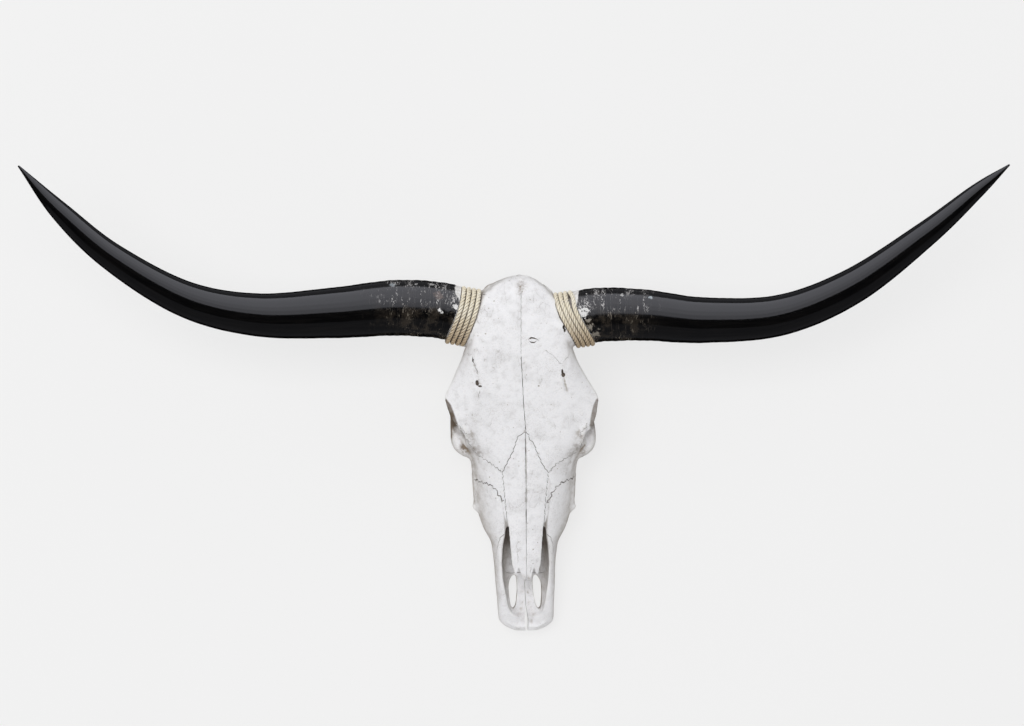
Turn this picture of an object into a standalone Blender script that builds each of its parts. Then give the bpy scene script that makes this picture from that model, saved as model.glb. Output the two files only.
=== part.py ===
"""Skull of a longhorn steer with both horns, lying face up on its cheek teeth, at life size.

Every length below is in millimetres and is turned into metres when a mesh is made. A station is the
distance from the tip of the snout towards the poll, along +Y. Sideways is X, and Z is the height
above the surface that the skull lies on. The bone is built as one body, fused from a lofted block,
the arches, plates and knobs that stand on it and the hollows that are cut into it, and is then
parted at its sutures.
"""

import math

import bmesh
import bpy
import numpy as np

MM = 0.001
SUTURE = 0.5  # width of the cut between two bones
CLEARANCE = 0.3  # gap between pieces that touch
FUSE_VOXEL = 2.4
BONE_TRIANGLES = 4500
FLOOR_TRIM = 1.2  # the teeth and processes are made this much too long, then trimmed flat

# Where the middle of the horn span and of the whole length comes in the skull's own measures.
SPAN_MIDDLE = -6.5
LENGTH_MIDDLE = 334.0

# Base colour and roughness of each kind of piece.
BONE_LOOK = ((0.86, 0.84, 0.79), 0.6)
HORN_LOOK = ((0.015, 0.012, 0.01), 0.12)
ROPE_LOOK = ((0.71, 0.62, 0.42), 0.85)
SHARP_ANGLE = math.radians(35)

# How far the midline has drifted to one side, as (station, drift).
LEAN = ((0, 17.6), (84, 14), (288, 9.5), (337, 4.6), (408, 0), (513, 0))

# The poll falls away on the right: by this share of what lies past DROP_FROM, over DROP_STATIONS.
POLL_DROP, DROP_FROM, DROP_STATIONS = 0.22, 22, (440, 490)

# Lines that run along the skull, each as (station, value). The block's half section passes through
# seven points: ridge, shoulder, brow, cheek, jaw, gum and palate.
RIDGE_HEIGHT = ((0, 31), (8, 34), (20, 40), (60, 60), (77, 95), (154, 119), (220, 138), (288, 159),
                (340, 178), (400, 197), (455, 206), (480, 206), (495, 202), (506, 195), (513, 186))
SHOULDER_WIDTH = ((0, 6), (8, 14), (20, 19), (90, 23), (145, 26), (185, 30), (250, 36), (292, 48),
                  (340, 57), (400, 57), (430, 54), (455, 51), (480, 44), (495, 34.5), (506, 22), (513, 10))
SHOULDER_HEIGHT = ((0, 31), (8, 34), (20, 42), (60, 61), (90, 75), (120, 88), (145, 105), (165, 116),
                   (220, 134), (292, 158), (340, 175), (400, 194), (455, 201.5), (480, 200), (495, 196),
                   (506, 189), (513, 182))
BROW_WIDTH = ((0, 14), (8, 28), (20, 34), (60, 35), (120, 38), (145, 43), (185, 53), (250, 64),
              (280, 81), (302, 90), (316, 95.5), (337, 98), (365, 88), (393, 77), (430, 65.5), (455, 59),
              (480, 54), (495, 43.5), (504, 30.5), (509, 20), (513, 8))
BROW_HEIGHT = ((0, 29), (8, 33), (20, 41), (60, 62), (120, 84), (145, 94), (185, 104), (250, 122),
               (280, 142), (315, 158), (340, 161), (370, 171), (400, 181), (430, 189), (455, 191),
               (480, 186), (495, 176), (506, 169), (513, 167))
CHEEK_WIDTH = ((0, 18), (3, 25), (9, 35), (16, 40), (45, 41.5), (67, 43), (96, 44.3), (118, 46.5),
               (129, 48), (141, 53.5), (148, 57.7), (165, 64), (185, 69), (199, 71.5), (220, 74),
               (250, 77), (280, 86), (302, 96), (316, 101), (330, 105), (337, 107), (344, 106),
               (351, 102.5), (365, 95), (379, 88), (393, 81.5), (407, 77), (430, 68), (455, 62),
               (480, 59), (495, 48), (504, 34.5), (509, 23), (513, 10))
CHEEK_HEIGHT = ((0, 26), (8, 28), (20, 32), (60, 46), (120, 58), (165, 66), (220, 74), (250, 86),
                (280, 112), (292, 138), (315, 149), (340, 151), (370, 157), (400, 163), (430, 160),
                (455, 152), (480, 146), (513, 146))
JAW_WIDTH = ((0, 14), (8, 28), (20, 35), (60, 38), (120, 42), (145, 50), (165, 57), (185, 62),
             (220, 68), (262, 71), (280, 66), (292, 56), (315, 52), (340, 54), (400, 60), (425, 70),
             (455, 84), (477, 84), (483, 77), (488, 65), (492, 52), (497, 38), (502, 27), (513, 10))
JAW_HEIGHT = ((0, 22), (8, 21), (20, 21), (60, 27), (120, 34), (165, 42), (220, 47), (262, 54),
              (280, 78), (292, 112), (315, 124), (340, 134), (400, 136), (430, 118), (455, 103),
              (480, 102), (493, 108), (500, 126), (506, 142), (513, 160))
GUM_WIDTH = ((0, 8), (8, 16), (20, 19), (60, 22), (90, 27), (120, 31), (145, 40), (165, 45), (185, 49),
             (220, 55), (262, 59), (280, 54), (292, 44), (315, 38), (340, 38), (370, 44), (400, 52),
             (430, 60), (455, 67), (480, 66), (488, 60), (493, 50), (497, 36), (502, 24), (513, 8))
GUM_HEIGHT = ((0, 21), (8, 18), (20, 17), (60, 21), (90, 24), (120, 26), (262, 27), (280, 38),
              (292, 60), (315, 76), (340, 80), (400, 74), (430, 64), (455, 60), (480, 64), (493, 76),
              (500, 104), (506, 130), (513, 156))
PALATE_HEIGHT = ((0, 21), (8, 19), (20, 18), (60, 22), (120, 30), (165, 35), (262, 37), (280, 40),
                 (292, 50), (315, 66), (340, 70), (400, 64), (440, 56), (480, 58), (493, 70),
                 (500, 100), (506, 128), (513, 154))

# The airway, from the open nose to the back of the palate.
AIRWAY_FLOOR = ((16, 46), (26, 36), (40, 32), (60, 32), (90, 34), (120, 37), (160, 41), (272, 45),
                (284, 22), (345, 22))
AIRWAY_WIDTH = ((16, 15), (26, 25), (60, 31), (82, 33.5), (100, 34), (122, 32.5), (150, 29), (200, 32),
                (250, 28), (290, 18), (345, 15))
AIRWAY_ROOF = ((16, 62), (26, 110), (60, 150), (140, 150), (152, 130), (158, 113), (200, 126),
               (240, 136), (262, 132), (290, 104), (345, 71))

NASAL_START, NASAL_END = 77, 172  # the stretch of the nasal bones made as a free roof
NASAL_ROOF_WIDTH = ((77, 19), (110, 21.5), (154, 25), (172, 26))
NASAL_THICKNESS = 6.0
# The ragged front edge of a nasal bone: (sideways, station).
NASAL_TIPS = ((-1, 84), (0, 84), (3.5, 77), (7, 84), (10.7, 95), (13, 90), (16, 86), (18.5, 95),
              (22, 104), (26, 108))
NASAL_DEPTH = ((60, 17), (172, 15), (186, 9), (291, 8))
# Half width of the space that a nasal bone fills: (station, width from the midline).
NASAL_OUTLINE = ((60, 26.6), (160, 26.6), (186, 29), (205, 30.5), (231, 33), (243, 25), (258, 17),
                 (270, 11), (281, 4.5), (291, 0.1))
# The suture between the snout's front bones and the cheek, as (station, height).
PREMAXILLA_SUTURE = ((82, -20), (84, 40), (98, 58), (126, 85), (149, 112), (152, 180))

# The outline of the opening through the palate beside the midline: (sideways, station).
FISSURE = ((13, 80), (11.6, 70), (11.8, 58), (13, 46), (15, 37), (18, 32.5), (21, 34.5), (23, 43),
           (24, 55), (24, 66), (22, 74), (17.5, 80.5))
# Half width of the gap between the two front bones: (station, half width).
TIP_GAP = ((-5, 0.6), (3, 0.8), (9, 1.5), (18, 2.1), (28, 1.4), (37, 0.1))

ORBIT_MIDDLE, ORBIT_RADII = (91, 305, 124), (35, 29)
ORBIT_TURN, ORBIT_ROLL = math.radians(19), math.radians(9)  # to the front, and to the sky
RIM_THICKNESS = 4.5
SOCKET, SOCKET_SIZE = (90, 303.5, 124), (30, 30, 24.5)

# Bones that stand free of the block: points are (sideways, station, height).
CHEEK_ARCH = ((62, 176, 66), (66, 196, 72), (68, 230, 82), (73, 254, 89), (86, 265, 92),
              (94, 276, 93), (98, 295, 94), (97, 318, 96), (92, 346, 101), (82, 368, 104),
              (72, 389, 104), (63, 410, 98), (52, 424, 94))
CHEEK_ARCH_WIDTH = (8, 7, 6.5, 6, 9, 10, 6.5, 5, 5, 5, 7, 11, 14)
CHEEK_ARCH_HEIGHT = (8, 9, 10, 12, 14, 13, 11, 10, 9, 9, 9, 9, 10)
EYE_BAR = ((96, 322, 98), (100, 333, 116), (102, 339, 134), (99, 341, 152))
EYE_BAR_WIDTH = (5, 4.5, 5, 8)
EYE_BAR_DEPTH = (9, 8, 8, 10)
CRANIAL_BASE = ((0, 330, 82), (0, 370, 72), (0, 420, 63), (0, 474, 66))
CRANIAL_BASE_RADII = (11, 13, 15, 18)
THROAT_KNOB, THROAT_KNOB_SIZE = (11, 438, 54), (8, 17, 9)
EAR_BULB = ((49, 436, 80), (48, 428, 60), (44, 416, 42), (41, 406, 33))
EAR_BULB_WIDTH = (12, 10.5, 7.5, 2.5)
EAR_BULB_HEIGHT = (18, 17, 12, 4)
EAR_TUBE = ((60, 418, 82), (74, 420, 84), (84, 421, 86))
EAR_TUBE_RADII = (8, 8, 8)
CONDYLE = ((31, 474, 96), (33, 486, 84), (30, 489, 67), (20, 483, 53), (10, 470, 49))
CONDYLE_WIDTH = (8, 15, 17, 14, 8)
CONDYLE_HEIGHT = (8, 13, 16, 13, 8)
NECK_PROCESS = ((64, 462, 96), (62, 464, 66), (56, 466, 34), (48, 467, -1.2))
NECK_PROCESS_WIDTH = (17, 13, 8.5, 5.5)
NECK_PROCESS_DEPTH = (22, 22, 17, 10)
THROAT_PLATE = ((20, 284, 62), (21, 315, 58), (23, 345, 66), (25, 368, 76))
THROAT_PLATE_WIDTH = (4, 3, 3, 4)
THROAT_PLATE_HEIGHT = (32, 31, 24, 12)
SPINE_HOLE, SPINE_HOLE_SIZE = (0, 494, 92), (17, 50, 16)
SNOUT_KNOB = ((52, 195, 66), (61, 188, 67), (69, 183, 68), (75.5, 181, 68))
SNOUT_KNOB_WIDTH = (16, 14, 8, 1.8)
SNOUT_KNOB_HEIGHT = (13, 11, 6.5, 1.8)

TOOTH_LENGTHS = (15, 17, 18, 23, 27, 29)
TOOTH_START = 149
TOOTH_ROW = ((149, 40), (200, 47), (278, 54))
TOOTH_HALF_WIDTH = ((149, 6.5), (200, 9.5), (278, 10.5))
TOOTH_TOP = 36

# Horns: (sideways, station, height, radius) from inside the wrap to the tip, one list a side.
HORN_LEFT = ((88, 459, 166, 39.0), (122, 465, 167, 39.8), (180, 467, 169, 39.2),
             (262, 460, 172, 35.8), (370, 457, 183, 30.3), (470, 479, 202, 25.3),
             (570, 537, 226, 19.6), (640, 599, 241, 13.8), (697, 662, 250, 1.2))
HORN_RIGHT = ((88, 454, 166, 38.4), (122, 458, 167, 38.3), (180, 457, 169, 36.2),
              (262, 450, 172, 32.4), (370, 457, 185, 29.0), (470, 498, 206, 25.2),
              (570, 571, 230, 18.0), (640, 631, 243, 10.4), (684, 667, 250, 1.2))
HORN_RINGS, HORN_SIDES = 22, 16

# Each core comes straight out of the skull; rope and horn base are square to WRAP_TURN instead.
# Its flared foot, given as (sideways, half width, half height), stands a little forward of it.
CORE_LEFT = ((30, 447, 160), (112, 461, 167))
CORE_RIGHT = ((30, 444.5, 160), (112, 456, 167))
CORE_RADIUS = 34.4
CORE_NECK = ((30, 37, 41), (46, 36.5, 41.5), (58, 35.5, 39.5), (72, 34.6, 35.5))
NECK_FORWARD = 3.5
HORN_BASE = 98.0  # where the horn's base crosses the core's middle line, sideways
WRAP_TURN_LEFT, WRAP_TURN_RIGHT = math.radians(14.2), math.radians(21.5)
WRAP_TURNS = 4
WRAP_START_LEFT, WRAP_START_RIGHT = 66.8, 66.9
WRAP_RADIUS = 39.2
WRAP_PITCH_LEFT, WRAP_PITCH_RIGHT = 7.1, 6.7
# The turns bow towards the midline over the top of the core, most of all at this angle.
WRAP_BOW_LEFT, WRAP_BOW_RIGHT = 3.5, 6.5
WRAP_BOW_ANGLE = math.radians(165)
ROPE_RADIUS = 3.2
WRAP_STEPS = 16  # points in each turn of the rope
WRAP_ROOM, WRAP_ROOM_GAP = 44.4, 1.4
BEFORE_ROPE_END = math.radians(20)  # the room's inner face starts this far before the rope does


def along(line, station):
    """The value at a station of a smooth line through (station, value) points, with no overshoot."""
    x, y = np.array(line, float).T
    step, slope = np.diff(x), np.diff(y) / np.diff(x)
    tangent = np.zeros(len(x))
    inner = slope[:-1] * slope[1:] > 0
    weight_a, weight_b = 2 * step[1:] + step[:-1], step[1:] + 2 * step[:-1]
    mean = (weight_a + weight_b) / (
        weight_a / np.where(inner, slope[:-1], 1) + weight_b / np.where(inner, slope[1:], 1)
    )
    tangent[1:-1] = np.where(inner, mean, 0)
    tangent[0], tangent[-1] = slope[0], slope[-1]
    s = np.clip(station, x[0], x[-1])
    i = np.clip(np.searchsorted(x, s, side="right") - 1, 0, len(step) - 1)
    t = (s - x[i]) / step[i]
    return (
        y[i] * (1 + 2 * t) * (1 - t) ** 2
        + tangent[i] * step[i] * t * (1 - t) ** 2
        + y[i + 1] * t * t * (3 - 2 * t)
        - tangent[i + 1] * step[i] * t * t * (1 - t)
    )


def through(points, count, closed=False):
    """Points along a smooth curve through the given ones."""
    knots = np.array(points, float)
    if closed:
        knots = np.vstack((knots[-1], knots, knots[:2]))
    else:
        knots = np.vstack((2 * knots[0] - knots[1], knots, 2 * knots[-1] - knots[-2]))
    spans = len(knots) - 3
    place = np.linspace(0, spans, count, endpoint=not closed)
    i = np.minimum(place.astype(int), spans - 1)
    t = (place - i)[:, None]
    a, b, c, d = knots[i], knots[i + 1], knots[i + 2], knots[i + 3]
    return 0.5 * (2 * b + (c - a) * t + (2 * a - 5 * b + 4 * c - d) * t**2
                  + (3 * b - a - 3 * c + d) * t**3)


def new_object(name, mesh_data):
    obj = bpy.data.objects.new(name, mesh_data)
    bpy.context.scene.collection.objects.link(obj)
    return obj


def from_bmesh(name, bm):
    bmesh.ops.recalc_face_normals(bm, faces=bm.faces)
    data = bpy.data.meshes.new(name)
    bm.to_mesh(data)
    bm.free()
    return new_object(name, data)


def loft(name, rings):
    """A closed body over rings of points in millimetres, with a flat cap at each end."""
    bm = bmesh.new()
    rows = [[bm.verts.new(np.array(p) * MM) for p in ring] for ring in rings]
    for near, far in zip(rows, rows[1:]):
        for i in range(len(near)):
            j = (i + 1) % len(near)
            bm.faces.new((near[i], near[j], far[j], far[i]))
    bm.faces.new(rows[0])
    bm.faces.new(rows[-1][::-1])
    bmesh.ops.triangulate(bm, faces=[f for f in bm.faces if len(f.verts) > 4])
    return from_bmesh(name, bm)


def poll_drop(sideways, station):
    """How far the right side of the poll falls short of the left."""
    return POLL_DROP * max(0, sideways - DROP_FROM) * np.interp(station, DROP_STATIONS, (0, 1))


def skull_block():
    lines = ((SHOULDER_WIDTH, SHOULDER_HEIGHT), (BROW_WIDTH, BROW_HEIGHT), (CHEEK_WIDTH, CHEEK_HEIGHT),
             (JAW_WIDTH, JAW_HEIGHT), (GUM_WIDTH, GUM_HEIGHT))
    rings = []
    for s in np.concatenate((np.arange(0, 24, 3), np.arange(24, 492, 6), np.arange(492, 514, 3))):
        left = [(-along(w, s), s, along(h, s)) for w, h in reversed(lines)]
        right = [(-x, s - poll_drop(-x, s), z) for x, _, z in reversed(left)]
        ridge, palate = (0, s, along(RIDGE_HEIGHT, s)), (0, s, along(PALATE_HEIGHT, s))
        rings.append(through([ridge, *right, palate, *left], 84, closed=True))
    return loft("skull_block", rings)


def airway():
    rings = []
    for s in range(16, 346, 6):
        floor, roof, half = along(AIRWAY_FLOOR, s), along(AIRWAY_ROOF, s), along(AIRWAY_WIDTH, s)
        middle, tall = (floor + roof) / 2, (roof - floor) / 2
        turn = np.linspace(0, 2 * math.pi, 40, endpoint=False)
        x = half * np.sign(np.cos(turn)) * np.abs(np.cos(turn)) ** 0.6
        z = middle + tall * np.sign(np.sin(turn)) * np.abs(np.sin(turn)) ** 0.6
        rings.append(np.column_stack((x, np.full(40, s), z)))
    return loft("airway", rings)


def swept(name, points, widths, heights, sides=20, count=40):
    """A rounded bar along a smooth path: widths lie flat and square to it, heights stand up."""
    rows = through(np.column_stack((points, widths, heights)), count)
    path, half_width, half_height = rows[:, :3], rows[:, 3], rows[:, 4]
    ahead = np.gradient(path, axis=0)
    ahead /= np.linalg.norm(ahead, axis=1)[:, None]
    up = np.array((0.0, 0.0, 1.0)) if abs(ahead[:, 2]).max() < 0.9 else np.array((0.0, 1.0, 0.0))
    sideways = np.cross(ahead, up)
    sideways /= np.linalg.norm(sideways, axis=1)[:, None]
    upright = np.cross(sideways, ahead)
    turn = np.linspace(0, 2 * math.pi, sides, endpoint=False)
    rings = [
        p + np.outer(np.cos(turn), w * a) + np.outer(np.sin(turn), h * b)
        for p, w, h, a, b in zip(path, half_width, half_height, sideways, upright)
    ]
    return loft(name, rings)


def knob(name, middle, size):
    """An ellipsoid."""
    bm = bmesh.new()
    bmesh.ops.create_uvsphere(bm, u_segments=24, v_segments=14, radius=1)
    for v in bm.verts:
        v.co = [(m + r * c) * MM for m, r, c in zip(middle, size, v.co)]
    return from_bmesh(name, bm)


def orbit_rim():
    """The raised ring round an eye socket, turned a little to the front and to the sky."""
    long_radius, tall_radius = ORBIT_RADII
    rings = []
    for turn in np.linspace(0, 2 * math.pi, 48, endpoint=False):
        out = np.array((0.0, math.cos(turn) * long_radius, math.sin(turn) * tall_radius))
        unit = out / np.linalg.norm(out)
        spin = np.linspace(0, 2 * math.pi, 12, endpoint=False)
        ring = out + RIM_THICKNESS * (np.outer(np.cos(spin), unit) + np.outer(np.sin(spin), (1, 0, 0)))
        x = ring[:, 0] * math.cos(ORBIT_ROLL) - ring[:, 2] * math.sin(ORBIT_ROLL)
        ring[:, 2] = ring[:, 2] * math.cos(ORBIT_ROLL) + ring[:, 0] * math.sin(ORBIT_ROLL)
        y = ring[:, 1].copy()
        ring[:, 0] = x * math.cos(ORBIT_TURN) + y * math.sin(ORBIT_TURN)
        ring[:, 1] = y * math.cos(ORBIT_TURN) - x * math.sin(ORBIT_TURN)
        rings.append(ring + ORBIT_MIDDLE)
    bm = bmesh.new()
    rows = [[bm.verts.new(p * MM) for p in ring] for ring in rings]
    for near, far in zip(rows, rows[1:] + rows[:1]):
        for i in range(12):
            bm.faces.new((near[i], near[(i + 1) % 12], far[(i + 1) % 12], far[i]))
    return from_bmesh("orbit_rim", bm)


def tooth(start, length):
    middle = start + length / 2
    x, half = along(TOOTH_ROW, middle), along(TOOTH_HALF_WIDTH, middle)
    turn = np.linspace(0, 2 * math.pi, 20, endpoint=False)
    corner = lambda a: np.sign(a) * np.abs(a) ** 0.5
    rings = []
    for height, scale in ((-FLOOR_TRIM, 0.93), (4, 0.98), (18, 1.0), (TOOTH_TOP, 0.9)):
        rings.append(np.column_stack((
            x + scale * half * corner(np.cos(turn)),
            middle + scale * (length / 2 + 0.4) * corner(np.sin(turn)),
            np.full(20, float(height)),
        )))
    return loft("tooth", rings)


def nasal_roof():
    """The front of the nasal bones, which reaches over the open nose."""
    rings = []
    for s in np.arange(NASAL_START, NASAL_END + 1, 4):
        half, top = along(NASAL_ROOF_WIDTH, s), along(RIDGE_HEIGHT, s)
        x = np.linspace(-half, half, 15)
        drop = 4.5 * (np.abs(x) / half) ** 3
        upper = np.column_stack((x, np.full(15, s), top - drop))
        lower = np.column_stack((x * 0.9, np.full(15, s), top - drop * 0.9 - NASAL_THICKNESS))
        rings.append(np.vstack((upper, lower[::-1])))
    return loft("nasal_roof", rings)


def mirrored(obj):
    data = obj.data.copy()
    data.transform(((-1, 0, 0, 0), (0, 1, 0, 0), (0, 0, 1, 0), (0, 0, 0, 1)))
    data.flip_normals()
    return new_object(obj.name + "_mirrored", data)


def both_sides(shapes):
    return [*shapes, *[mirrored(s) for s in shapes]]


def settle(obj):
    """Turns an object's modifiers into its mesh."""
    graph = bpy.context.evaluated_depsgraph_get()
    data = bpy.data.meshes.new_from_object(obj.evaluated_get(graph))
    obj.modifiers.clear()
    old, obj.data = obj.data, data
    bpy.data.meshes.remove(old)
    return obj


def joined(name, shapes):
    bm = bmesh.new()
    for shape in shapes:
        bm.from_mesh(shape.data)
    for shape in shapes:
        bpy.data.objects.remove(shape)
    data = bpy.data.meshes.new(name)
    bm.to_mesh(data)
    bm.free()
    return new_object(name, data)


def fused(name, shapes, voxel):
    """One body round shapes that overlap."""
    obj = joined(name, shapes)
    remesh = obj.modifiers.new("fuse", "REMESH")
    remesh.mode = "VOXEL"
    remesh.voxel_size = voxel * MM
    return settle(obj)


def smoothed(obj, factor, rounds):
    modifier = obj.modifiers.new("smooth", "SMOOTH")
    modifier.factor, modifier.iterations = factor, rounds
    return settle(obj)


def thinned(obj, triangles):
    modifier = obj.modifiers.new("thin", "DECIMATE")
    faces = sum(len(p.vertices) - 2 for p in obj.data.polygons)
    modifier.ratio = min(1.0, triangles / faces)
    return settle(obj)


def combined(obj, tool, operation):
    """Joins or cuts an object with a tool. The exact solver loses faces of the fused bone."""
    modifier = obj.modifiers.new(operation.lower(), "BOOLEAN")
    modifier.operation, modifier.solver, modifier.object = operation, "MANIFOLD", tool
    settle(obj)
    bpy.data.objects.remove(tool)
    return obj


def less(obj, tools):
    for tool in tools:
        combined(obj, tool, "DIFFERENCE")
    return obj


def wrap_normal(side):
    turn = WRAP_TURN_LEFT if side < 0 else WRAP_TURN_RIGHT
    return np.array((side * math.cos(turn), math.sin(turn), 0.0))


def on_core(sideways, side):
    """The point of the core's middle line this far from the midline."""
    start, end = np.array(CORE_LEFT if side < 0 else CORE_RIGHT, float)
    point = start + (end - start) * (sideways - start[0]) / (end[0] - start[0])
    return point * (side, 1, 1)


def tip_gap():
    return loft("tip_gap", [[(-w, s, 0), (w, s, 0), (w, s, 80), (-w, s, 80)] for s, w in TIP_GAP])


def square_to_wrap(name, side, near, far, radius, sides=32):
    """A cylinder round the core between two distances from the midline, cut square to the wraps."""
    normal = wrap_normal(side)
    across = np.cross(normal, (0, 0, 1))
    turn = np.linspace(0, 2 * math.pi, sides, endpoint=False)
    circle = np.outer(np.cos(turn), across) + np.outer(np.sin(turn), (0, 0, 1))
    return loft(name, [on_core(x, side) + radius * circle for x in (near, far)])


def horn_neck(side):
    """The flared foot of a horn core, square to the wraps."""
    across = np.cross(wrap_normal(side), (0, 0, 1))
    turn = np.linspace(0, 2 * math.pi, 48, endpoint=False)
    circle = [np.outer(np.cos(turn), across), np.outer(np.sin(turn), (0, 0, 1))]
    rings = [on_core(x, side) - (0, NECK_FORWARD, 0) + width * circle[0] + height * circle[1]
             for x, width, height in through(CORE_NECK, 12)]
    return loft("horn_neck", rings)


def wrap_out(side, turn):
    """The way out of the core, square to the wraps, at an angle from its lowest point."""
    back = side * np.cross((0, 0, 1), wrap_normal(side))
    return math.sin(turn) * back - math.cos(turn) * np.array((0.0, 0.0, 1.0))


def wrap_place(turn, side, inward=0.0):
    """The point of the core's middle line that the rope goes round at this much of its winding."""
    start, pitch, bow = ((WRAP_START_LEFT, WRAP_PITCH_LEFT, WRAP_BOW_LEFT) if side < 0
                         else (WRAP_START_RIGHT, WRAP_PITCH_RIGHT, WRAP_BOW_RIGHT))
    bowed = bow * max(0, math.cos(turn - WRAP_BOW_ANGLE)) ** 2
    return on_core(start + pitch * (turn / (2 * math.pi) - 0.25) - bowed - inward, side)


def wrap_room(side):
    """The space round the core that the rope fills. Its inner face follows the rope's first turn."""
    turns = np.linspace(0, 2 * math.pi, 48, endpoint=False) - BEFORE_ROPE_END
    inward = ROPE_RADIUS + WRAP_ROOM_GAP
    rings = [[wrap_place(turn, side, inward) + radius * wrap_out(side, turn) for turn in turns]
             for radius in (1, WRAP_ROOM)]
    rings.append([on_core(130, side) + WRAP_ROOM * wrap_out(side, turn) for turn in turns])
    return loft("wrap_room", rings)


def bone_body(voxel):
    """The whole bone as one body, hollows included."""
    block = fused("bone", [
        skull_block(),
        *both_sides([
            swept("cheek_arch", CHEEK_ARCH, CHEEK_ARCH_WIDTH, CHEEK_ARCH_HEIGHT),
            swept("eye_bar", EYE_BAR, EYE_BAR_WIDTH, EYE_BAR_DEPTH),
            orbit_rim(),
            swept("snout_knob", SNOUT_KNOB, SNOUT_KNOB_WIDTH, SNOUT_KNOB_HEIGHT),
            knob("throat_knob", THROAT_KNOB, THROAT_KNOB_SIZE),
            swept("ear_bulb", EAR_BULB, EAR_BULB_WIDTH, EAR_BULB_HEIGHT),
            swept("condyle", CONDYLE, CONDYLE_WIDTH, CONDYLE_HEIGHT),
            swept("ear_tube", EAR_TUBE, EAR_TUBE_RADII, EAR_TUBE_RADII),
            swept("neck_process", NECK_PROCESS, NECK_PROCESS_WIDTH, NECK_PROCESS_DEPTH),
        ]),
        swept("cranial_base", CRANIAL_BASE, CRANIAL_BASE_RADII, CRANIAL_BASE_RADII),
        *[horn_neck(side) for side in (-1, 1)],
    ], voxel)
    less(block, [
        airway(),
        knob("spine_hole", SPINE_HOLE, SPINE_HOLE_SIZE),
        *both_sides([knob("socket", SOCKET, SOCKET_SIZE)]),
        *both_sides([loft("fissure", [[(x, s, z) for x, s in FISSURE] for z in (0, 52)])]),
        *[wrap_room(side) for side in (-1, 1)],
    ])
    teeth = []
    start = TOOTH_START
    for length in TOOTH_LENGTHS:
        teeth.append(tooth(start, length))
        start += length
    added = both_sides([
        swept("throat_plate", THROAT_PLATE, THROAT_PLATE_WIDTH, THROAT_PLATE_HEIGHT),
        *teeth,
    ])
    cores = [square_to_wrap("horn_core", side, 30, 110, CORE_RADIUS) for side in (-1, 1)]
    return fused("bone", [block, nasal_roof(), *cores, *added], voxel)


def box(name, low, high):
    corners = [(low[0], low[2]), (high[0], low[2]), (high[0], high[2]), (low[0], high[2])]
    return loft(name, [[(x, y, z) for x, z in corners] for y in (low[1], high[1])])


def reach(side, outer):
    """The sideways limits of a block on one side of the midline, or on both where side is 0."""
    return (-outer, outer) if side == 0 else sorted((side * SUTURE / 2, side * outer))


def nasal_block(name, side, room=0.0):
    """The space of one nasal bone, or of both where side is 0, with room round it for the suture."""
    rings = []
    for s, width in NASAL_OUTLINE:
        top = along(RIDGE_HEIGHT, max(s, NASAL_START))
        low = top - along(NASAL_DEPTH, s) - room
        near, far = reach(side, max(width, SUTURE) + room)
        rings.append([(x, s + room, z) for x, z in
                      ((near, low), (far, low), (far, top + 30), (near, top + 30))])
    return loft(name, rings)


def snout_block(name, side, room=0.0):
    """The space in front of the suture that runs up the side of the snout."""
    near, far = reach(side, 70)
    return loft(name, [[(near, -30, z), (far, -30, z), (far, s + room, z), (near, s + room, z)]
                       for s, z in PREMAXILLA_SUTURE])


def keep_main_body(obj):
    """Drops the crumbs that a cut can leave beside a bone."""
    bm = bmesh.new()
    bm.from_mesh(obj.data)
    left, islands = set(bm.verts), []
    while left:
        island, edge = set(), [left.pop()]
        while edge:
            vert = edge.pop()
            island.add(vert)
            near = {e.other_vert(vert) for e in vert.link_edges} & left
            left -= near
            edge.extend(near)
        islands.append(island)
    islands.sort(key=len)
    bmesh.ops.delete(bm, geom=[v for island in islands[:-1] for v in island], context="VERTS")
    bm.to_mesh(obj.data)
    bm.free()


def copy_of(obj, name):
    return new_object(name, obj.data.copy())


def part_bones(bone):
    """The nasal and snout bones cut out of the whole, each by the block of space it fills."""
    pairs = []
    for name, block in (("nasal", nasal_block), ("premaxilla", snout_block)):
        pairs.append([
            combined(copy_of(bone, f"{name}_{word}"), block("space", side), "INTERSECT")
            for word, side in (("left", -1), ("right", 1))
        ])
        less(bone, [block("space", 0, SUTURE)])
    return pairs


def nose_front(side):
    """The space in front of one nasal bone's ragged edge."""
    outline = [*NASAL_TIPS, (26, 50), (-1, 50)]
    rings = [[(side * x, s, z) for x, s in outline] for z in (70, 140)]
    return loft("nose_front", rings)


def horn(name, side):
    rows = through([(side * x, *rest) for x, *rest in (HORN_LEFT if side < 0 else HORN_RIGHT)],
                   HORN_RINGS)
    path, radii = rows[:, :3], rows[:, 3]
    ahead = np.gradient(path, axis=0)
    ahead /= np.linalg.norm(ahead, axis=1)[:, None]
    turn = np.linspace(0, 2 * math.pi, HORN_SIDES, endpoint=False)
    rings = []
    for point, radius, direction in zip(path, radii, ahead):
        across = np.cross(direction, (0, 0, 1))
        across /= np.linalg.norm(across)
        upright = np.cross(across, direction)
        circle = np.outer(np.cos(turn), across) + np.outer(np.sin(turn), upright)
        rings.append(point + radius * circle)
    obj = less(loft(name, rings), [square_to_wrap("base", side, 20, HORN_BASE + CLEARANCE, 80)])
    obj.data.shade_smooth()
    obj.data.set_sharp_from_angle(angle=SHARP_ANGLE)
    return obj


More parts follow.
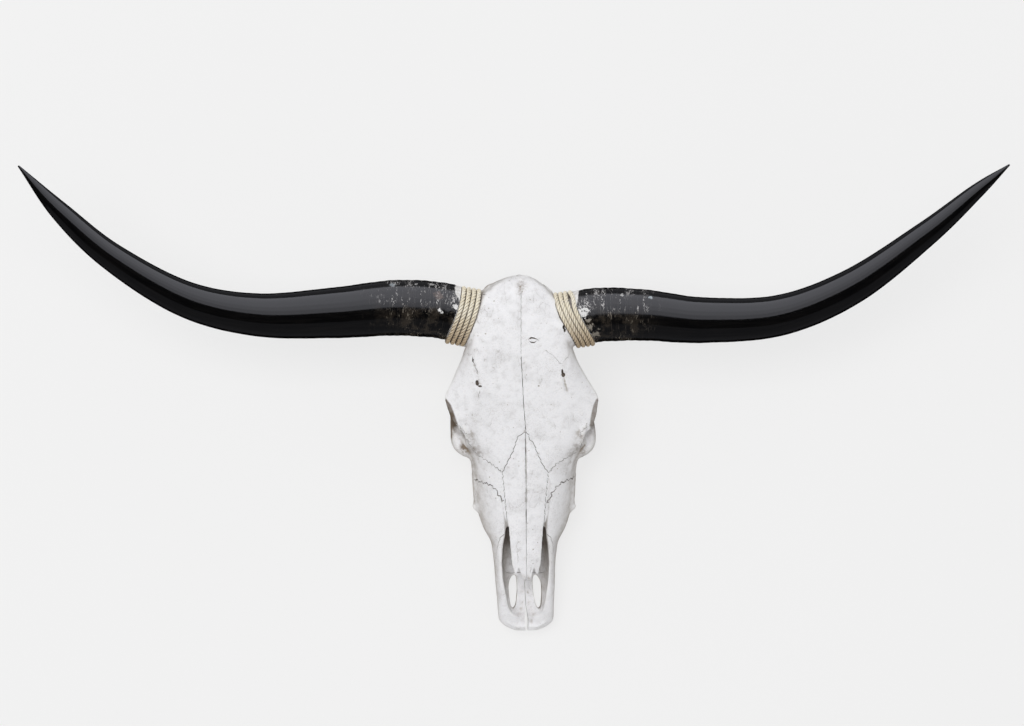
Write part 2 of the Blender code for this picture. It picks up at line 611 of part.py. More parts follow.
def rope(name, side):
    """A rope wound round the core in touching turns."""
    data = bpy.data.curves.new(name, "CURVE")
    data.dimensions, data.bevel_resolution = "3D", 2
    data.bevel_depth, data.use_fill_caps = ROPE_RADIUS * MM, True
    count = WRAP_TURNS * WRAP_STEPS + 1
    spline = data.splines.new("POLY")
    spline.points.add(count - 1)
    for i in range(count):
        turn = 2 * math.pi * i / WRAP_STEPS
        point = wrap_place(turn, side) + WRAP_RADIUS * wrap_out(side, turn)
        spline.points[i].co = (*(point * MM), 1)
    return new_object(name, data)


def lean(obj):
    """Moves a bone's points sideways, the more the nearer they are to the snout."""
    for v in obj.data.vertices:
        v.co.x += float(along(LEAN, v.co.y / MM)) * MM


def paint(obj, colour, roughness):
    material = bpy.data.materials.new(obj.name)
    material.use_nodes = True
    shader = material.node_tree.nodes["Principled BSDF"]
    shader.inputs["Base Color"].default_value = (*colour, 1)
    shader.inputs["Roughness"].default_value = roughness
    shader.inputs["Metallic"].default_value = 0
    obj.data.materials.clear()
    obj.data.materials.append(material)


def bones():
    """The cranium, the two nasal bones and the two front bones of the snout."""
    bone = bone_body(FUSE_VOXEL)
    smoothed(bone, 0.5, 4)
    thinned(bone, BONE_TRIANGLES)
    bone.name = "cranium"
    less(bone, [
        box("below_the_floor", (-200, 50, -20), (200, 520, 0)),
        *[square_to_wrap("past_the_core", side, HORN_BASE, 160, 80) for side in (-1, 1)],
    ])
    nasals, snout = part_bones(bone)
    for nasal, front, side in zip(nasals, snout, (-1, 1)):
        less(nasal, [nose_front(side)])
        less(front, [tip_gap()])
    for piece in (bone, *nasals, *snout):
        keep_main_body(piece)
        lean(piece)
        piece.data.shade_smooth()
        piece.data.set_sharp_from_angle(angle=SHARP_ANGLE)
    return [bone, *nasals, *snout]


def main():
    for obj in list(bpy.data.objects):
        bpy.data.objects.remove(obj)
    whole = bpy.data.collections.new("longhorn_steer_skull")
    bpy.context.scene.collection.children.link(whole)
    for pieces, look in (
        (bones(), BONE_LOOK),
        ([horn("horn_left", -1), horn("horn_right", 1)], HORN_LOOK),
        ([rope("rope_left", -1), rope("rope_right", 1)], ROPE_LOOK),
    ):
        for piece in pieces:
            paint(piece, *look)
            piece.location = (-SPAN_MIDDLE * MM, -LENGTH_MIDDLE * MM, 0)
            bpy.context.scene.collection.objects.unlink(piece)
            whole.objects.link(piece)


main()
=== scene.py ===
"""Looks of the longhorn steer skull: weathered bone, cheek teeth, polished horns and laid rope.

Shapes are made in millimetres and turned into metres when a mesh is made. A station is the distance
from the tip of the snout towards the poll, along +Y. Sideways is X, and Z is the height above the
surface that the skull lies on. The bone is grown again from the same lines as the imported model, at a
finer grain, then dented, cracked and parted at its sutures.
"""

import math

import bmesh
import bpy
import numpy as np
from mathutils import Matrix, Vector
from mathutils.bvhtree import BVHTree


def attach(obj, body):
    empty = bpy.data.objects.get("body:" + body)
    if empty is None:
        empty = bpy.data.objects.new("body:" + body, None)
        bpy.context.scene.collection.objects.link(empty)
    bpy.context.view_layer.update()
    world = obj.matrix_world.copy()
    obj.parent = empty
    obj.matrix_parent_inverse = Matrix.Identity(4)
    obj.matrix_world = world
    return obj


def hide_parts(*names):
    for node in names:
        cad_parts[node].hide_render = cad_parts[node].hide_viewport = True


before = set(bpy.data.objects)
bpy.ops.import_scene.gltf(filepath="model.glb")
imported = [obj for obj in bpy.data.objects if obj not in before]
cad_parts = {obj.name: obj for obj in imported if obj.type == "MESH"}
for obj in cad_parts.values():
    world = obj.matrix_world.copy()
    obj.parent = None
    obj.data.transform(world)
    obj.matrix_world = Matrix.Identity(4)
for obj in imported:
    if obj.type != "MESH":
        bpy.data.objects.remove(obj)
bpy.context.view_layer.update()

MM = 0.001
CLEARANCE = 0.3
BLOCK_VOXEL, BONE_VOXEL = ((1.7, 1.25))
BAR_SIDES, BAR_RINGS = 32, 80
SPAN_MIDDLE, LENGTH_MIDDLE = -6.5, 334.0  # the middle of the whole model's box
SIDES = (("left", -1), ("right", 1))

# How far the midline has drifted to one side, as (station, drift).
LEAN = ((0, 17.6), (84, 14), (288, 9.5), (337, 4.6), (408, 0), (513, 0))

# The poll falls away on the right: by this share of what lies past DROP_FROM, over DROP_STATIONS.
POLL_DROP, DROP_FROM, DROP_STATIONS = 0.22, 22, (440, 490)

# Lines that run along the skull, each as (station, value). The block's half section passes through
# seven points: ridge, shoulder, brow, cheek, jaw, gum and palate.
RIDGE_HEIGHT = ((0, 31), (8, 34), (20, 40), (60, 60), (77, 95), (154, 119), (220, 138), (288, 159),
                (340, 178), (400, 197), (455, 206), (480, 206), (495, 202), (506, 195), (513, 186))
SHOULDER_WIDTH = ((0, 6), (8, 14), (20, 19), (90, 23), (145, 26), (185, 30), (250, 36), (292, 48),
                  (340, 57), (400, 57), (430, 54), (455, 51), (480, 44), (495, 34.5), (506, 22), (513, 10))
SHOULDER_HEIGHT = ((0, 31), (8, 34), (20, 42), (60, 61), (90, 75), (120, 88), (145, 105), (165, 116),
                   (220, 134), (292, 158), (340, 175), (400, 194), (455, 201.5), (480, 200), (495, 196),
                   (506, 189), (513, 182))
BROW_WIDTH = ((0, 14), (8, 28), (20, 34), (60, 35), (120, 38), (145, 43), (185, 53), (250, 64),
              (280, 81), (302, 90), (316, 95.5), (337, 98), (365, 88), (393, 77), (430, 65.5), (455, 59),
              (480, 54), (495, 43.5), (504, 30.5), (509, 20), (513, 8))
BROW_HEIGHT = ((0, 29), (8, 33), (20, 41), (60, 62), (120, 84), (145, 94), (185, 104), (250, 122),
               (280, 142), (315, 158), (340, 161), (370, 171), (400, 181), (430, 189), (455, 191),
               (480, 186), (495, 176), (506, 169), (513, 167))
CHEEK_WIDTH = ((0, 18), (3, 25), (9, 35), (16, 40), (45, 41.5), (67, 43), (96, 44.3), (118, 46.5),
               (129, 48), (141, 53.5), (148, 57.7), (165, 64), (185, 69), (199, 71.5), (220, 74),
               (250, 77), (280, 86), (302, 96), (316, 101), (330, 105), (337, 107), (344, 106),
               (351, 102.5), (365, 95), (379, 88), (393, 81.5), (407, 77), (430, 68), (455, 62),
               (480, 59), (495, 48), (504, 34.5), (509, 23), (513, 10))
CHEEK_HEIGHT = ((0, 26), (8, 28), (20, 32), (60, 46), (120, 58), (165, 66), (220, 74), (250, 86),
                (280, 112), (292, 138), (315, 149), (340, 151), (370, 157), (400, 163), (430, 160),
                (455, 152), (480, 146), (513, 146))
JAW_WIDTH = ((0, 14), (8, 28), (20, 35), (60, 38), (120, 42), (145, 50), (165, 57), (185, 62),
             (220, 68), (262, 71), (280, 66), (292, 56), (315, 52), (340, 54), (400, 60), (425, 70),
             (455, 84), (477, 84), (483, 77), (488, 65), (492, 52), (497, 38), (502, 27), (513, 10))
JAW_HEIGHT = ((0, 22), (8, 21), (20, 21), (60, 27), (120, 34), (165, 42), (220, 47), (262, 54),
              (280, 78), (292, 112), (315, 124), (340, 134), (400, 136), (430, 118), (455, 103),
              (480, 102), (493, 108), (500, 126), (506, 142), (513, 160))
GUM_WIDTH = ((0, 8), (8, 16), (20, 19), (60, 22), (90, 27), (120, 31), (145, 40), (165, 45), (185, 49),
             (220, 55), (262, 59), (280, 54), (292, 44), (315, 38), (340, 38), (370, 44), (400, 52),
             (430, 60), (455, 67), (480, 66), (488, 60), (493, 50), (497, 36), (502, 24), (513, 8))
GUM_HEIGHT = ((0, 21), (8, 18), (20, 17), (60, 21), (90, 24), (120, 26), (262, 27), (280, 38),
              (292, 60), (315, 76), (340, 80), (400, 74), (430, 64), (455, 60), (480, 64), (493, 76),
              (500, 104), (506, 130), (513, 156))
PALATE_HEIGHT = ((0, 21), (8, 19), (20, 18), (60, 22), (120, 30), (165, 35), (262, 37), (280, 40),
                 (292, 50), (315, 66), (340, 70), (400, 64), (440, 56), (480, 58), (493, 70),
                 (500, 100), (506, 128), (513, 154))

# The airway, from the open nose to the back of the palate.
AIRWAY_FLOOR = ((16, 46), (26, 36), (40, 32), (60, 32), (90, 34), (120, 37), (160, 41), (272, 45),
                (284, 22), (345, 22))
AIRWAY_WIDTH = ((16, 15), (26, 25), (60, 31), (82, 33.5), (100, 34), (122, 32.5), (150, 29), (200, 32),
                (250, 28), (290, 18), (345, 15))
AIRWAY_ROOF = ((16, 62), (26, 110), (60, 150), (140, 150), (152, 130), (158, 113), (200, 126),
               (240, 136), (262, 132), (290, 104), (345, 71))

NASAL_START, NASAL_END = 77, 172  # the stretch of the nasal bones made as a free roof
NASAL_ROOF_WIDTH = ((77, 19), (110, 21.5), (154, 25), (172, 26))
NASAL_THICKNESS, NASAL_DROP = 6.0, 4.5  # the drop is from the midline to the side edge
NASAL_TIPS = ((-1, 84), (0, 84), (3.5, 77), (7, 84), (10.7, 95), (13, 90), (16, 86), (18.5, 95),
              (22, 104), (26, 108))
NASAL_DEPTH = ((60, 17), (172, 15), (186, 9), (291, 8))
# Half width of each nasal bone, from the midline: (station, width).
NASAL_OUTLINE_LEFT = ((60, 26.6), (155, 26.2), (193, 29.5), (233, 33.2), (250, 25), (263.6, 17.8),
                      (283.6, 11), (288.5, 4.2), (291, 0.4))
NASAL_OUTLINE_RIGHT = ((60, 26.6), (155, 25.4), (193.6, 27.6), (232.6, 31.8), (244.6, 23.1),
                       (263.4, 15.1), (276.6, 10.7), (278.4, 6.2), (286.5, 4.2), (291, 0.4))
NASAL_SUTURE = 0.6
# Half width of the open line between the nasal bones, and how it wanders: (station, value).
NASAL_GAP = ((60, 0.25), (95, 0.25), (140, 0.3), (164, 0.4), (172, 0.8), (182, 0.4), (212, 0.35),
             (238, 0.45), (262, 0.55), (284, 0.5), (291, 0.3))
PREMAXILLA_SUTURE = ((82, -20), (84, 40), (98, 58), (126, 85), (149, 112), (152, 180))

# The outline of the opening through the palate beside the midline: (sideways, station).
FISSURE = ((13, 80), (11.6, 70), (11.8, 58), (13, 46), (15, 37), (18, 32.5), (21, 34.5), (23, 43),
           (24, 55), (24, 66), (22, 74), (17.5, 80.5))
TIP_GAP = ((-5, 1.4), (3, 1.8), (9, 2.5), (18, 2.7), (27, 1.7), (38, 0.1))

ORBIT_MIDDLE, ORBIT_RADII = (91, 305, 124), (35, 29)
ORBIT_TURN, ORBIT_ROLL = math.radians(19), math.radians(9)  # to the front, and to the sky
RIM_THICKNESS = 4.5
SOCKET, SOCKET_SIZE = (90, 303.5, 124), (30, 30, 24.5)

# The sideways line where the shade beside the brow begins, as (station, sideways), and its ends.
BROW_SHADE_LEFT = ((301, 94), (315.4, 97.2), (329.6, 100.8), (338.5, 106.6))
BROW_SHADE_RIGHT = ((301, 92), (315.4, 95.4), (329.6, 100.2), (340, 106.2))
BROW_SHADE_ENDS = ((294, 0), (300, 1), (337, 1), (340, 0))

CHEEK_ARCH = ((62, 176, 66), (66, 196, 72), (68, 230, 82), (73, 254, 89), (86, 265, 92),
              (94, 276, 93), (98, 295, 94), (97, 318, 96), (92, 346, 101), (82, 368, 104),
              (72, 389, 104), (63, 410, 98), (52, 424, 94))
CHEEK_ARCH_WIDTH = (8, 7, 6.5, 6, 9, 10, 6.5, 5, 5, 5, 7, 11, 14)
CHEEK_ARCH_HEIGHT = (8, 9, 10, 12, 14, 13, 11, 10, 9, 9, 9, 9, 10)
EYE_BAR = ((96, 322, 98), (100, 333, 116), (102, 339, 134), (99, 341, 152))
EYE_BAR_WIDTH = (5, 4.5, 5, 8)
EYE_BAR_DEPTH = (9, 8, 8, 10)
CRANIAL_BASE = ((0, 330, 82), (0, 370, 72), (0, 420, 63), (0, 474, 66))
CRANIAL_BASE_RADII = (11, 13, 15, 18)
THROAT_KNOB, THROAT_KNOB_SIZE = (11, 438, 54), (8, 17, 9)
EAR_BULB = ((49, 436, 80), (48, 428, 60), (44, 416, 42), (41, 406, 33))
EAR_BULB_WIDTH = (12, 10.5, 7.5, 2.5)
EAR_BULB_HEIGHT = (18, 17, 12, 4)
EAR_TUBE = ((60, 418, 82), (74, 420, 84), (84, 421, 86))
EAR_TUBE_RADII = (8, 8, 8)
CONDYLE = ((31, 474, 96), (33, 486, 84), (30, 489, 67), (20, 483, 53), (10, 470, 49))
CONDYLE_WIDTH = (8, 15, 17, 14, 8)
CONDYLE_HEIGHT = (8, 13, 16, 13, 8)
NECK_PROCESS = ((64, 462, 96), (62, 464, 66), (56, 466, 34), (48, 467, -1.2))
NECK_PROCESS_WIDTH = (17, 13, 8.5, 5.5)
NECK_PROCESS_DEPTH = (22, 22, 17, 10)
THROAT_PLATE = ((20, 284, 62), (21, 315, 58), (23, 345, 66), (25, 368, 76))
THROAT_PLATE_WIDTH = (4, 3, 3, 4)
THROAT_PLATE_HEIGHT = (32, 31, 24, 12)
SPINE_HOLE, SPINE_HOLE_SIZE = (0, 494, 92), (17, 50, 16)
SNOUT_KNOB = ((52, 195, 66), (61, 188, 67), (69, 183, 68), (75.5, 181, 68))
SNOUT_KNOB_WIDTH = (16, 14, 8, 1.8)
SNOUT_KNOB_HEIGHT = (13, 11, 6.5, 1.8)

TOOTH_LENGTHS = (15, 17, 18, 23, 27, 29)
TOOTH_START = 149
TOOTH_ROW = ((149, 40), (200, 47), (278, 54))
TOOTH_HALF_WIDTH = ((149, 6.5), (200, 9.5), (278, 10.5))
TOOTH_TOP, TOOTH_TWIST = 36, 0.25
LOBED_FROM = 3  # the first three teeth have one lobe, the rest have two
# The outside of a tooth and the hollow of its chewing face: (height, share of its full width).
TOOTH_OUTSIDE = ((0.0, 0.90), (0.8, 0.945), (3, 0.965), (9, 0.985), (18, 1.0), (27, 0.96),
                 (TOOTH_TOP, 0.9))
TOOTH_HOLLOW = ((1.6, 0.30), (1.1, 0.62), (0.25, 0.80))

# Horns: (sideways, station, height, radius) from inside the wrap to the tip, one list a side.
HORN_LEFT = ((88, 459, 166, 39.0), (122, 465, 167, 39.8), (180, 467, 169, 39.2),
             (262, 460, 172, 35.8), (370, 457, 183, 30.3), (470, 479, 202, 25.3),
             (570, 537, 226, 19.6), (640, 599, 241, 13.8), (697, 662, 250, 1.2))
HORN_RIGHT = ((88, 454, 166, 38.4), (122, 458, 167, 38.3), (180, 457, 169, 36.2),
              (262, 450, 172, 32.4), (370, 457, 185, 29.0), (470, 498, 206, 25.2),
              (570, 571, 230, 18.0), (640, 631, 243, 10.4), (684, 667, 250, 1.2))
HORN_RINGS, HORN_SIDES = ((320, 88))
# How far from its open edge a horn is white and chalky, as (angle round it from the top, distance).
# The angle is + towards the poll.
CHALKY_LEFT = ((-180, 0), (24, 0), (33, 2), (42, 7.5), (60, 10), (90, 9), (120, 4), (150, 0), (180, 0))
CHALKY_RIGHT = ((-180, 0), (24, 0), (30, 1.5), (38, 3.5), (55, 6.5), (75, 9.5), (95, 10), (120, 6),
                (150, 0), (180, 0))
MARKED_LEFT, MARKED_RIGHT = 0.135, 0.11  # how far from its base a horn is marked, in metres
SNUG = 0.9  # gap between the rope's last turn and the horn's edge
RIM_RINGS = ((16, 4.0), (8, 3.0), (0.8, 2.4), (0.0, 1.35))  # inside the edge: (depth, thickness)

CORE_LEFT = ((30, 447, 160), (112, 461, 167))
CORE_RIGHT = ((30, 444.5, 160), (112, 456, 167))
CORE_RADIUS = 34.4
CORE_START, CORE_END = 30, 111  # both from the midline
CORE_NECK = ((30, 37, 41), (46, 36.5, 41.5), (58, 35.5, 39.5), (72, 34.6, 35.5))
NECK_FORWARD = 3.5
HORN_BASE = 98.0
# The least distance of a horn's edge from the midline: (angle round the horn, distance).
LEAST_EDGE = ((130, 0), (175, HORN_BASE))
WRAP_TURN_LEFT, WRAP_TURN_RIGHT = math.radians(14.2), math.radians(21.5)
WRAP_TURNS = 4
WRAP_START_LEFT, WRAP_START_RIGHT = 66.8, 66.9
WRAP_RADIUS = 39.2
WRAP_PITCH_LEFT, WRAP_PITCH_RIGHT = 7.1, 6.7
# The turns bow towards the midline over the top of the core, most of all at this angle.
WRAP_BOW_LEFT, WRAP_BOW_RIGHT = 3.5, 6.5
WRAP_BOW_ANGLE = math.radians(165)
ROPE_RADIUS = 3.4
ROPE_LAY = 18.0  # length of rope in which a strand goes once round it
STRANDS = 3
STRAND_RADIUS, STRAND_OFFSET = 0.46, 0.54  # as shares of the rope's radius
STRAND_SIDES = 12
ROPE_RINGS = 900
WRAP_ROOM, WRAP_ROOM_GAP, WRAP_ROOM_END = 43.6, 0.3, 130
BEFORE_ROPE_END = math.radians(20)  # the room's inner face starts this far before the rope does
# Where a turn of rope has slipped outwards: the turn's number, how much of a turn, how far.
SLIP_LEFT, SLIP_RIGHT = (3.2, 0.08, 0.0), (3.36, 0.065, 3.2)

# Troughs in the bone: (points, width, depth). A ridge has a depth below 0. Points are (sideways,
# station), met from above, or (sideways, station, height), moved to the nearest bone.
TROUGHS = (
    (((-64, 408), (-66, 396), (-65, 386)), 3.0, 0.9),
    (((-65, 386), (-62.5, 376), (-60.5, 364), (-62, 350)), 5.0, 0.7),
    (((-57.6, 362), (-58.4, 358)), 2.4, -1.5),
    (((71, 402), (66, 390), (62, 378)), 4.5, 0.6),
    (((60.5, 372), (62, 362), (64.5, 350)), 3.0, 1.0),
    (((56, 366), (57, 352)), 4.0, -0.7),
    (((0, 292), (0, 250), (0, 200), (0, 172)), 4.5, 0.9),
    (((1, 500), (1, 470), (2, 440)), 7, 0.7),
    (((-9, 13), (-9.5, 22), (-8, 33)), 5.0, 2.4),
    (((8, 13), (8.5, 22), (7.5, 33)), 5.0, 2.4),
    (((-3.6, 78), (-3.6, 56), (-4, 38)), 2.6, 1.3),
    (((3.6, 78), (3.6, 56), (4, 38)), 2.6, 1.3),
    (((-9, 78), (-9, 56), (-9.5, 38)), 2.2, -0.9),
    (((9, 78), (9, 56), (9.5, 38)), 2.2, -0.9),
    (((-33, 228), (-37, 205), (-33, 180), (-31, 160)), 5, 0.9),
    (((32, 228), (36, 205), (32, 180), (30, 160)), 5, 0.9),
    (((-50, 232), (-62, 238)), 8, 0.9),
    (((50, 232), (62, 240)), 8, 0.9),
    (((-4, 6), (-16, 6), (-27, 12)), 2.6, -1.5),
    (((4, 6), (16, 6), (27, 12)), 2.6, -1.5),
)
# The same, for both sides of the skull alike.
PAIRED_TROUGHS = (
    (((58, 200, 62), (62, 222, 68), (66, 245, 76)), 7, 1.8),
    (((66, 182, 66), (70, 205, 72), (72, 228, 80)), 3.5, -1.0),
    (((80, 372, 160), (70, 400, 150), (66, 425, 140)), 4, -1.2),
    (((45, 500, 168), (62, 486, 150), (76, 476, 126)), 4.5, -1.5),
    (((16, 236, 37), (17, 200, 36), (19, 160, 34)), 3.2, 1.1),
    (((58, 152, 56), (46, 140, 50), (42, 120, 45)), 3.4, 0.9),
    (((20, 505, 150), (34, 497, 140), (46, 490, 124)), 7, 1.2),
    (((60, 250, 112), (64, 262, 120)), 6, 1.2),
    (((6, 455, 50), (7, 430, 50), (5, 405, 56)), 3, 0.8),
)
MIDLINE_RIDGES = (
    (((0, 512, 172), (0, 507, 150), (0, 499, 124)), 4.0, -2.2),
    (((0, 470, 48), (0, 440, 48), (0, 400, 58)), 2.5, 0.7),
)

# Holes in the bone: (middle, size, side), where side 0 stands for both.
HOLES = (
    ((62.2, 361.0, 181), (2.4, 4.0, 7), -1),
    ((58.8, 356.4, 181), (2.8, 1.4, 5), -1),
    ((60.2, 372.6, 186), (2.8, 3.4, 7), 1),
    ((58.9, 377.5, 186), (1.5, 3.6, 6), 1),
    ((66.4, 393, 187), (1.0, 2.6, 4), -1),
    ((61.2, 439.6, 196), (2.0, 3.4, 9), 1),
    ((62.8, 435.4, 194), (1.8, 3.6, 9), 1),
    ((51.5, 157, 57), (4.5, 6, 3.4), 0),
    ((16, 237, 37), (2.4, 3.4, 6), 0),
    ((20, 358, 96), (9, 4.5, 4.5), 0),
    ((74, 284, 108), (6, 3, 2.6), 0),
    ((22, 452, 56), (3, 3.4, 6), 0),
    ((44, 484, 96), (3, 4.5, 3), 0),
    ((84, 421, 86), (9, 4.2, 4.2), 0),
)
# Small pits: (sideways, station, radius).
PITS = ((-36.7, 476.3, 1.0), (-48.5, 430.4, 0.9), (8, 372.3, 0.8), (24.2, 356.7, 1.1),
        (-44, 466, 0.7), (-31, 452, 0.6), (14, 478, 0.7), (40, 330, 0.7), (-22, 330, 0.6),
        (-38, 248, 0.8), (-52, 226, 0.9), (46, 238, 0.8), (-43, 196, 0.8), (10, 122, 1.3),
        (-21, 42, 1.0), (-25, 36, 0.9), (-19, 33, 0.8), (0.5, 497, 1.0), (3, 490, 0.8), (-1.5, 485, 0.7))

GROOVE_LIFT = 1.2  # how far a groove's wedge stands out of the bone before it is cut
# Sutures and cracks: (points, width, depth, swing from side to side). Each side has its own, but
# for those that follow in pairs.
SUTURES = (
    (((-73.5, 222.5), (-66, 219.5), (-59.1, 217.3), (-50.4, 214.8), (-42.7, 207.8), (-35.3, 195),
      (-31, 191)), 1.3, 2.4, 2.3),
    (((72.5, 225.5), (66, 222.5), (57.9, 220.2), (47.6, 214.8), (39.5, 205.5), (32, 192),
      (29, 189)), 1.3, 2.4, 2.3),
    (((-87, 287), (-79, 273), (-69, 260), (-60, 253), (-51.6, 247.5), (-45.3, 242.5), (-38, 237),
      (-34.6, 234)), 0.8, 1.8, 1.5),
    (((85, 286), (81, 274), (75, 263.5), (66, 257.5), (58.5, 253.6), (50, 248.5), (43.7, 245.3),
      (36, 237), (33.2, 233.6)), 0.8, 1.8, 1.5),
    (((0.6, 292.5), (0.9, 322.7), (1.9, 372.3), (1.5, 400)), 0.8, 2.6, 0.35),
    (((1.5, 401), (1.3, 421.5), (1.1, 463.6), (1.3, 492)), 0.45, 1.2, 0.5),
)
CRACKS = (
    (((34, 408.5), (39.3, 404.7), (48.9, 397.7), (55.6, 389.2), (60, 389)), 0.4, 0.9, 0.7),
    (((61.5, 391), (66, 396), (70.9, 401.5)), 0.4, 0.9, 0.6),
    (((10.6, 421.8), (14.5, 423.9), (18.1, 424.4), (22, 423.2), (27.0, 421.0)), 2.0, 2.6, 0.3),
    (((12.2, 420.8), (15.2, 418.6), (18.6, 417.9), (21.5, 419), (24.6, 421)), 1.4, 2.2, 0.3),
    (((-53.5, 487), (-50, 485.4), (-46.6, 485)), 1.1, 1.8, 0.4),
    (((-58, 352), (-61, 345), (-63, 336)), 0.4, 0.8, 0.4),
    (((-66.5, 399), (-66, 393), (-64, 386), (-62, 379), (-60, 372)), 0.9, 1.3, 0.9),
    (((-97, 303), (-91, 297), (-85, 290), (-78, 286)), 0.6, 1.1, 1.5),
    (((90, 304), (85, 296), (80, 291), (77, 283)), 0.6, 1.1, 1.5),
    (((-46, 309), (-50, 298)), 0.25, 0.6, 0.7),
    (((41, 306), (44, 293)), 0.25, 0.6, 0.7),
    (((7, 100), (6, 92), (4.8, 86)), 0.35, 0.8, 0.3),
    (((-13, 120), (-12, 108), (-12.6, 101)), 0.35, 0.8, 0.3),
)
PAIRED_SUTURES = (
    (((75, 226, 84), (77, 236, 82), (84, 252, 80), (90, 262, 82)), 0.8, 1.8, 0.7),
    (((97, 330, 105), (96, 338, 99), (92, 352, 94)), 0.8, 1.8, 0.5),
    (((4, 214, 36), (16, 216, 36), (30, 212, 34), (38, 208, 32)), 0.8, 1.8, 0.8),
    (((30, 505, 170), (44, 494, 156), (58, 487, 138), (66, 482, 118)), 0.7, 1.6, 1.2),
    (((12, 398, 58), (24, 396, 70)), 0.7, 1.4, 0.4),
)
MIDLINE_SUTURES = ((((0, 96, 27), (0, 150, 34), (0, 210, 36), (0, 264, 38)), 0.8, 1.8, 0.4),)

# Brown and grey stains on the bone, and painted shade below the brow: (sideways, station, height or None,
# radius, strength).
STAIN_AND_SHADE_SPOTS = (
    (1.5, 496, None, 9, 0.55), (-1, 486, None, 6, 0.35), (3, 506, None, 6, 0.3),
    (-7, 22, None, 8, 0.24), (5, 28, None, 8, 0.2), (-4, 12, None, 6, 0.2), (9, 17, None, 7, 0.18),
    (-13, 2, None, 5, 0.3), (13, 2, None, 5, 0.2),
    (-62, 378, None, 5, 0.35), (-60, 361, None, 5, 0.4), (61, 374, None, 5, 0.4),
    (64, 352, None, 6, 0.35),
    (-78, 268, None, 12, 0.4), (80, 270, None, 12, 0.4), (-60, 222, None, 12, 0.18),
    (60, 225, None, 12, 0.18), (-50, 440, None, 12, 0.18), (-30, 400, None, 16, 0.12),
    (22, 400, None, 14, 0.10), (-5, 58, None, 8, 0.16), (4, 64, None, 8, 0.16),
    (-4, 80, None, 8, 0.34), (4, 78, None, 8, 0.34), (-70, 200, None, 12, 0.25),
    (52, 248, None, 12, 0.2), (-48, 244, None, 10, 0.15), (38, 170, None, 10, 0.15),
    (17, 260, None, 5, 0.3), (-12, 275, None, 5, 0.25),
    (-80, 284, None, 13, 0.36), (-68, 262, None, 13, 0.36), (-73, 243, None, 11, 0.36),
    (-92, 297, None, 4, 0.3), (-86, 284, None, 5, 0.25), (-75, 279, None, 4, 0.25),
    (-66, 272, None, 5, 0.2),
    (84, 297, None, 4, 0.25), (79, 286, None, 5, 0.2), (71, 273, None, 6, 0.2),
    (0, 380, None, 30, 0.12),
    (77, 284, None, 12, 0.34), (66, 262, None, 12, 0.3), (71, 246, None, 11, 0.28),
    # The marks given with a height lie on the cheek arch and the socket's rim below the brow, and are
    # painted shade from the brow.
    (-100, 292, 96, 10, 0.9), (-93, 277, 94, 9, 0.9), (-82, 265, 100, 9, 0.7),
    (-101, 304, 99, 6, 1.2), (-97, 284, 95, 4, 0.9), (-88, 270, 97, 4, 0.8),
    (98, 290, 96, 9, 0.7), (92, 276, 94, 9, 0.75), (82, 264, 100, 9, 0.6),
    (-103, 336, 128, 9, 1.6), (-102, 322, 106, 9, 1.6), (-101, 308, 103, 7, 1.2),
    (-95, 322, 102, 9, 1.4),
    (103, 336, 128, 8, 1.0), (102, 322, 106, 8, 0.9), (101, 308, 103, 7, 0.7),
    (95, 322, 102, 9, 1.2),
)

UNMARKED_HOLLOW_PLACE, UNMARKED_HOLLOW_RADIUS = (70, 417, 176), 14  # where the hollow by the horn core is left without painted shade and dirt
HOLLOW_SHARE = ((0, 0.3), (60, 0.4), (95, 1))  # how strongly hollows get painted shade and dirt: (station, share)
# How dark the painted shade inside the nose is, as (station, share), and how wide its border is.
NOSE_SHADE = ((10, 0), (80, 0.05), (98, 0.18), (116, 0.4), (130, 0.9), (345, 1))
NOSE_BORDER = 2.5
LOW_BELOW_BROW = 34  # this far below the brow's line the painted shade on the steep sides is at its darkest

# Smooth unevenness of the bone: (height, size of a lump, seed). The poll's back has more of it,
# which comes on from a station over the next 20.
UNEVEN = ((0.45, 26, 1), (0.22, 9, 2), (0.1, 4, 3))
UNEVEN_BACK, BACK_FROM, BACK_STATIONS = ((0.5, 6, 4), (0.3, 3, 5)), 478, 20
DENT_SHARE = ((0, 1), (60, 1), (75, 0.5), (172, 0.5), (190, 1))  # less on the thin nasal roof

# Patches on the horns beside the ropes: (middle in metres, radius, colour, strength).
CHALK_AND_GLINT, PALE, GREY = (226, 225, 224), (176, 186, 192), (158, 150, 138)
DARK, DULL = (30, 27, 26), (120, 105, 98)
PATCHES_LEFT = (
    # On the left horn, the three small chalk-coloured patches in a row from (-0.1076, 0.1303) are a
    # painted glint.
    ((-0.0835, 0.1345, 0.204), 0.0044, CHALK_AND_GLINT, 0.95), ((-0.1076, 0.1303, 0.206), 0.0019, CHALK_AND_GLINT, 0.95),
    ((-0.1055, 0.1284, 0.206), 0.0021, CHALK_AND_GLINT, 0.95), ((-0.1034, 0.1264, 0.206), 0.0019, CHALK_AND_GLINT, 0.95),
    ((-0.108, 0.150, 0.199), 0.0070, DULL, 0.45), ((-0.117, 0.165, 0.186), 0.0036, CHALK_AND_GLINT, 0.5),
    ((-0.138, 0.1645, 0.189), 0.0030, CHALK_AND_GLINT, 0.5), ((-0.173, 0.165, 0.192), 0.0042, PALE, 0.5),
)
PATCHES_RIGHT = (
    ((0.0948, 0.1270, 0.204), 0.0082, CHALK_AND_GLINT, 0.97), ((0.0934, 0.1284, 0.204), 0.0013, DARK, 0.9),
    ((0.0974, 0.1284, 0.204), 0.0013, DARK, 0.9), ((0.1060, 0.1070, 0.199), 0.0058, GREY, 0.7),
    ((0.1030, 0.1150, 0.202), 0.0042, GREY, 0.65), ((0.1170, 0.1040, 0.197), 0.0032, GREY, 0.55),
    ((0.1125, 0.0960, 0.193), 0.0062, GREY, 0.6), ((0.151, 0.1525, 0.195), 0.0030, CHALK_AND_GLINT, 0.5),
    ((0.191, 0.1477, 0.195), 0.0034, PALE, 0.8),
)

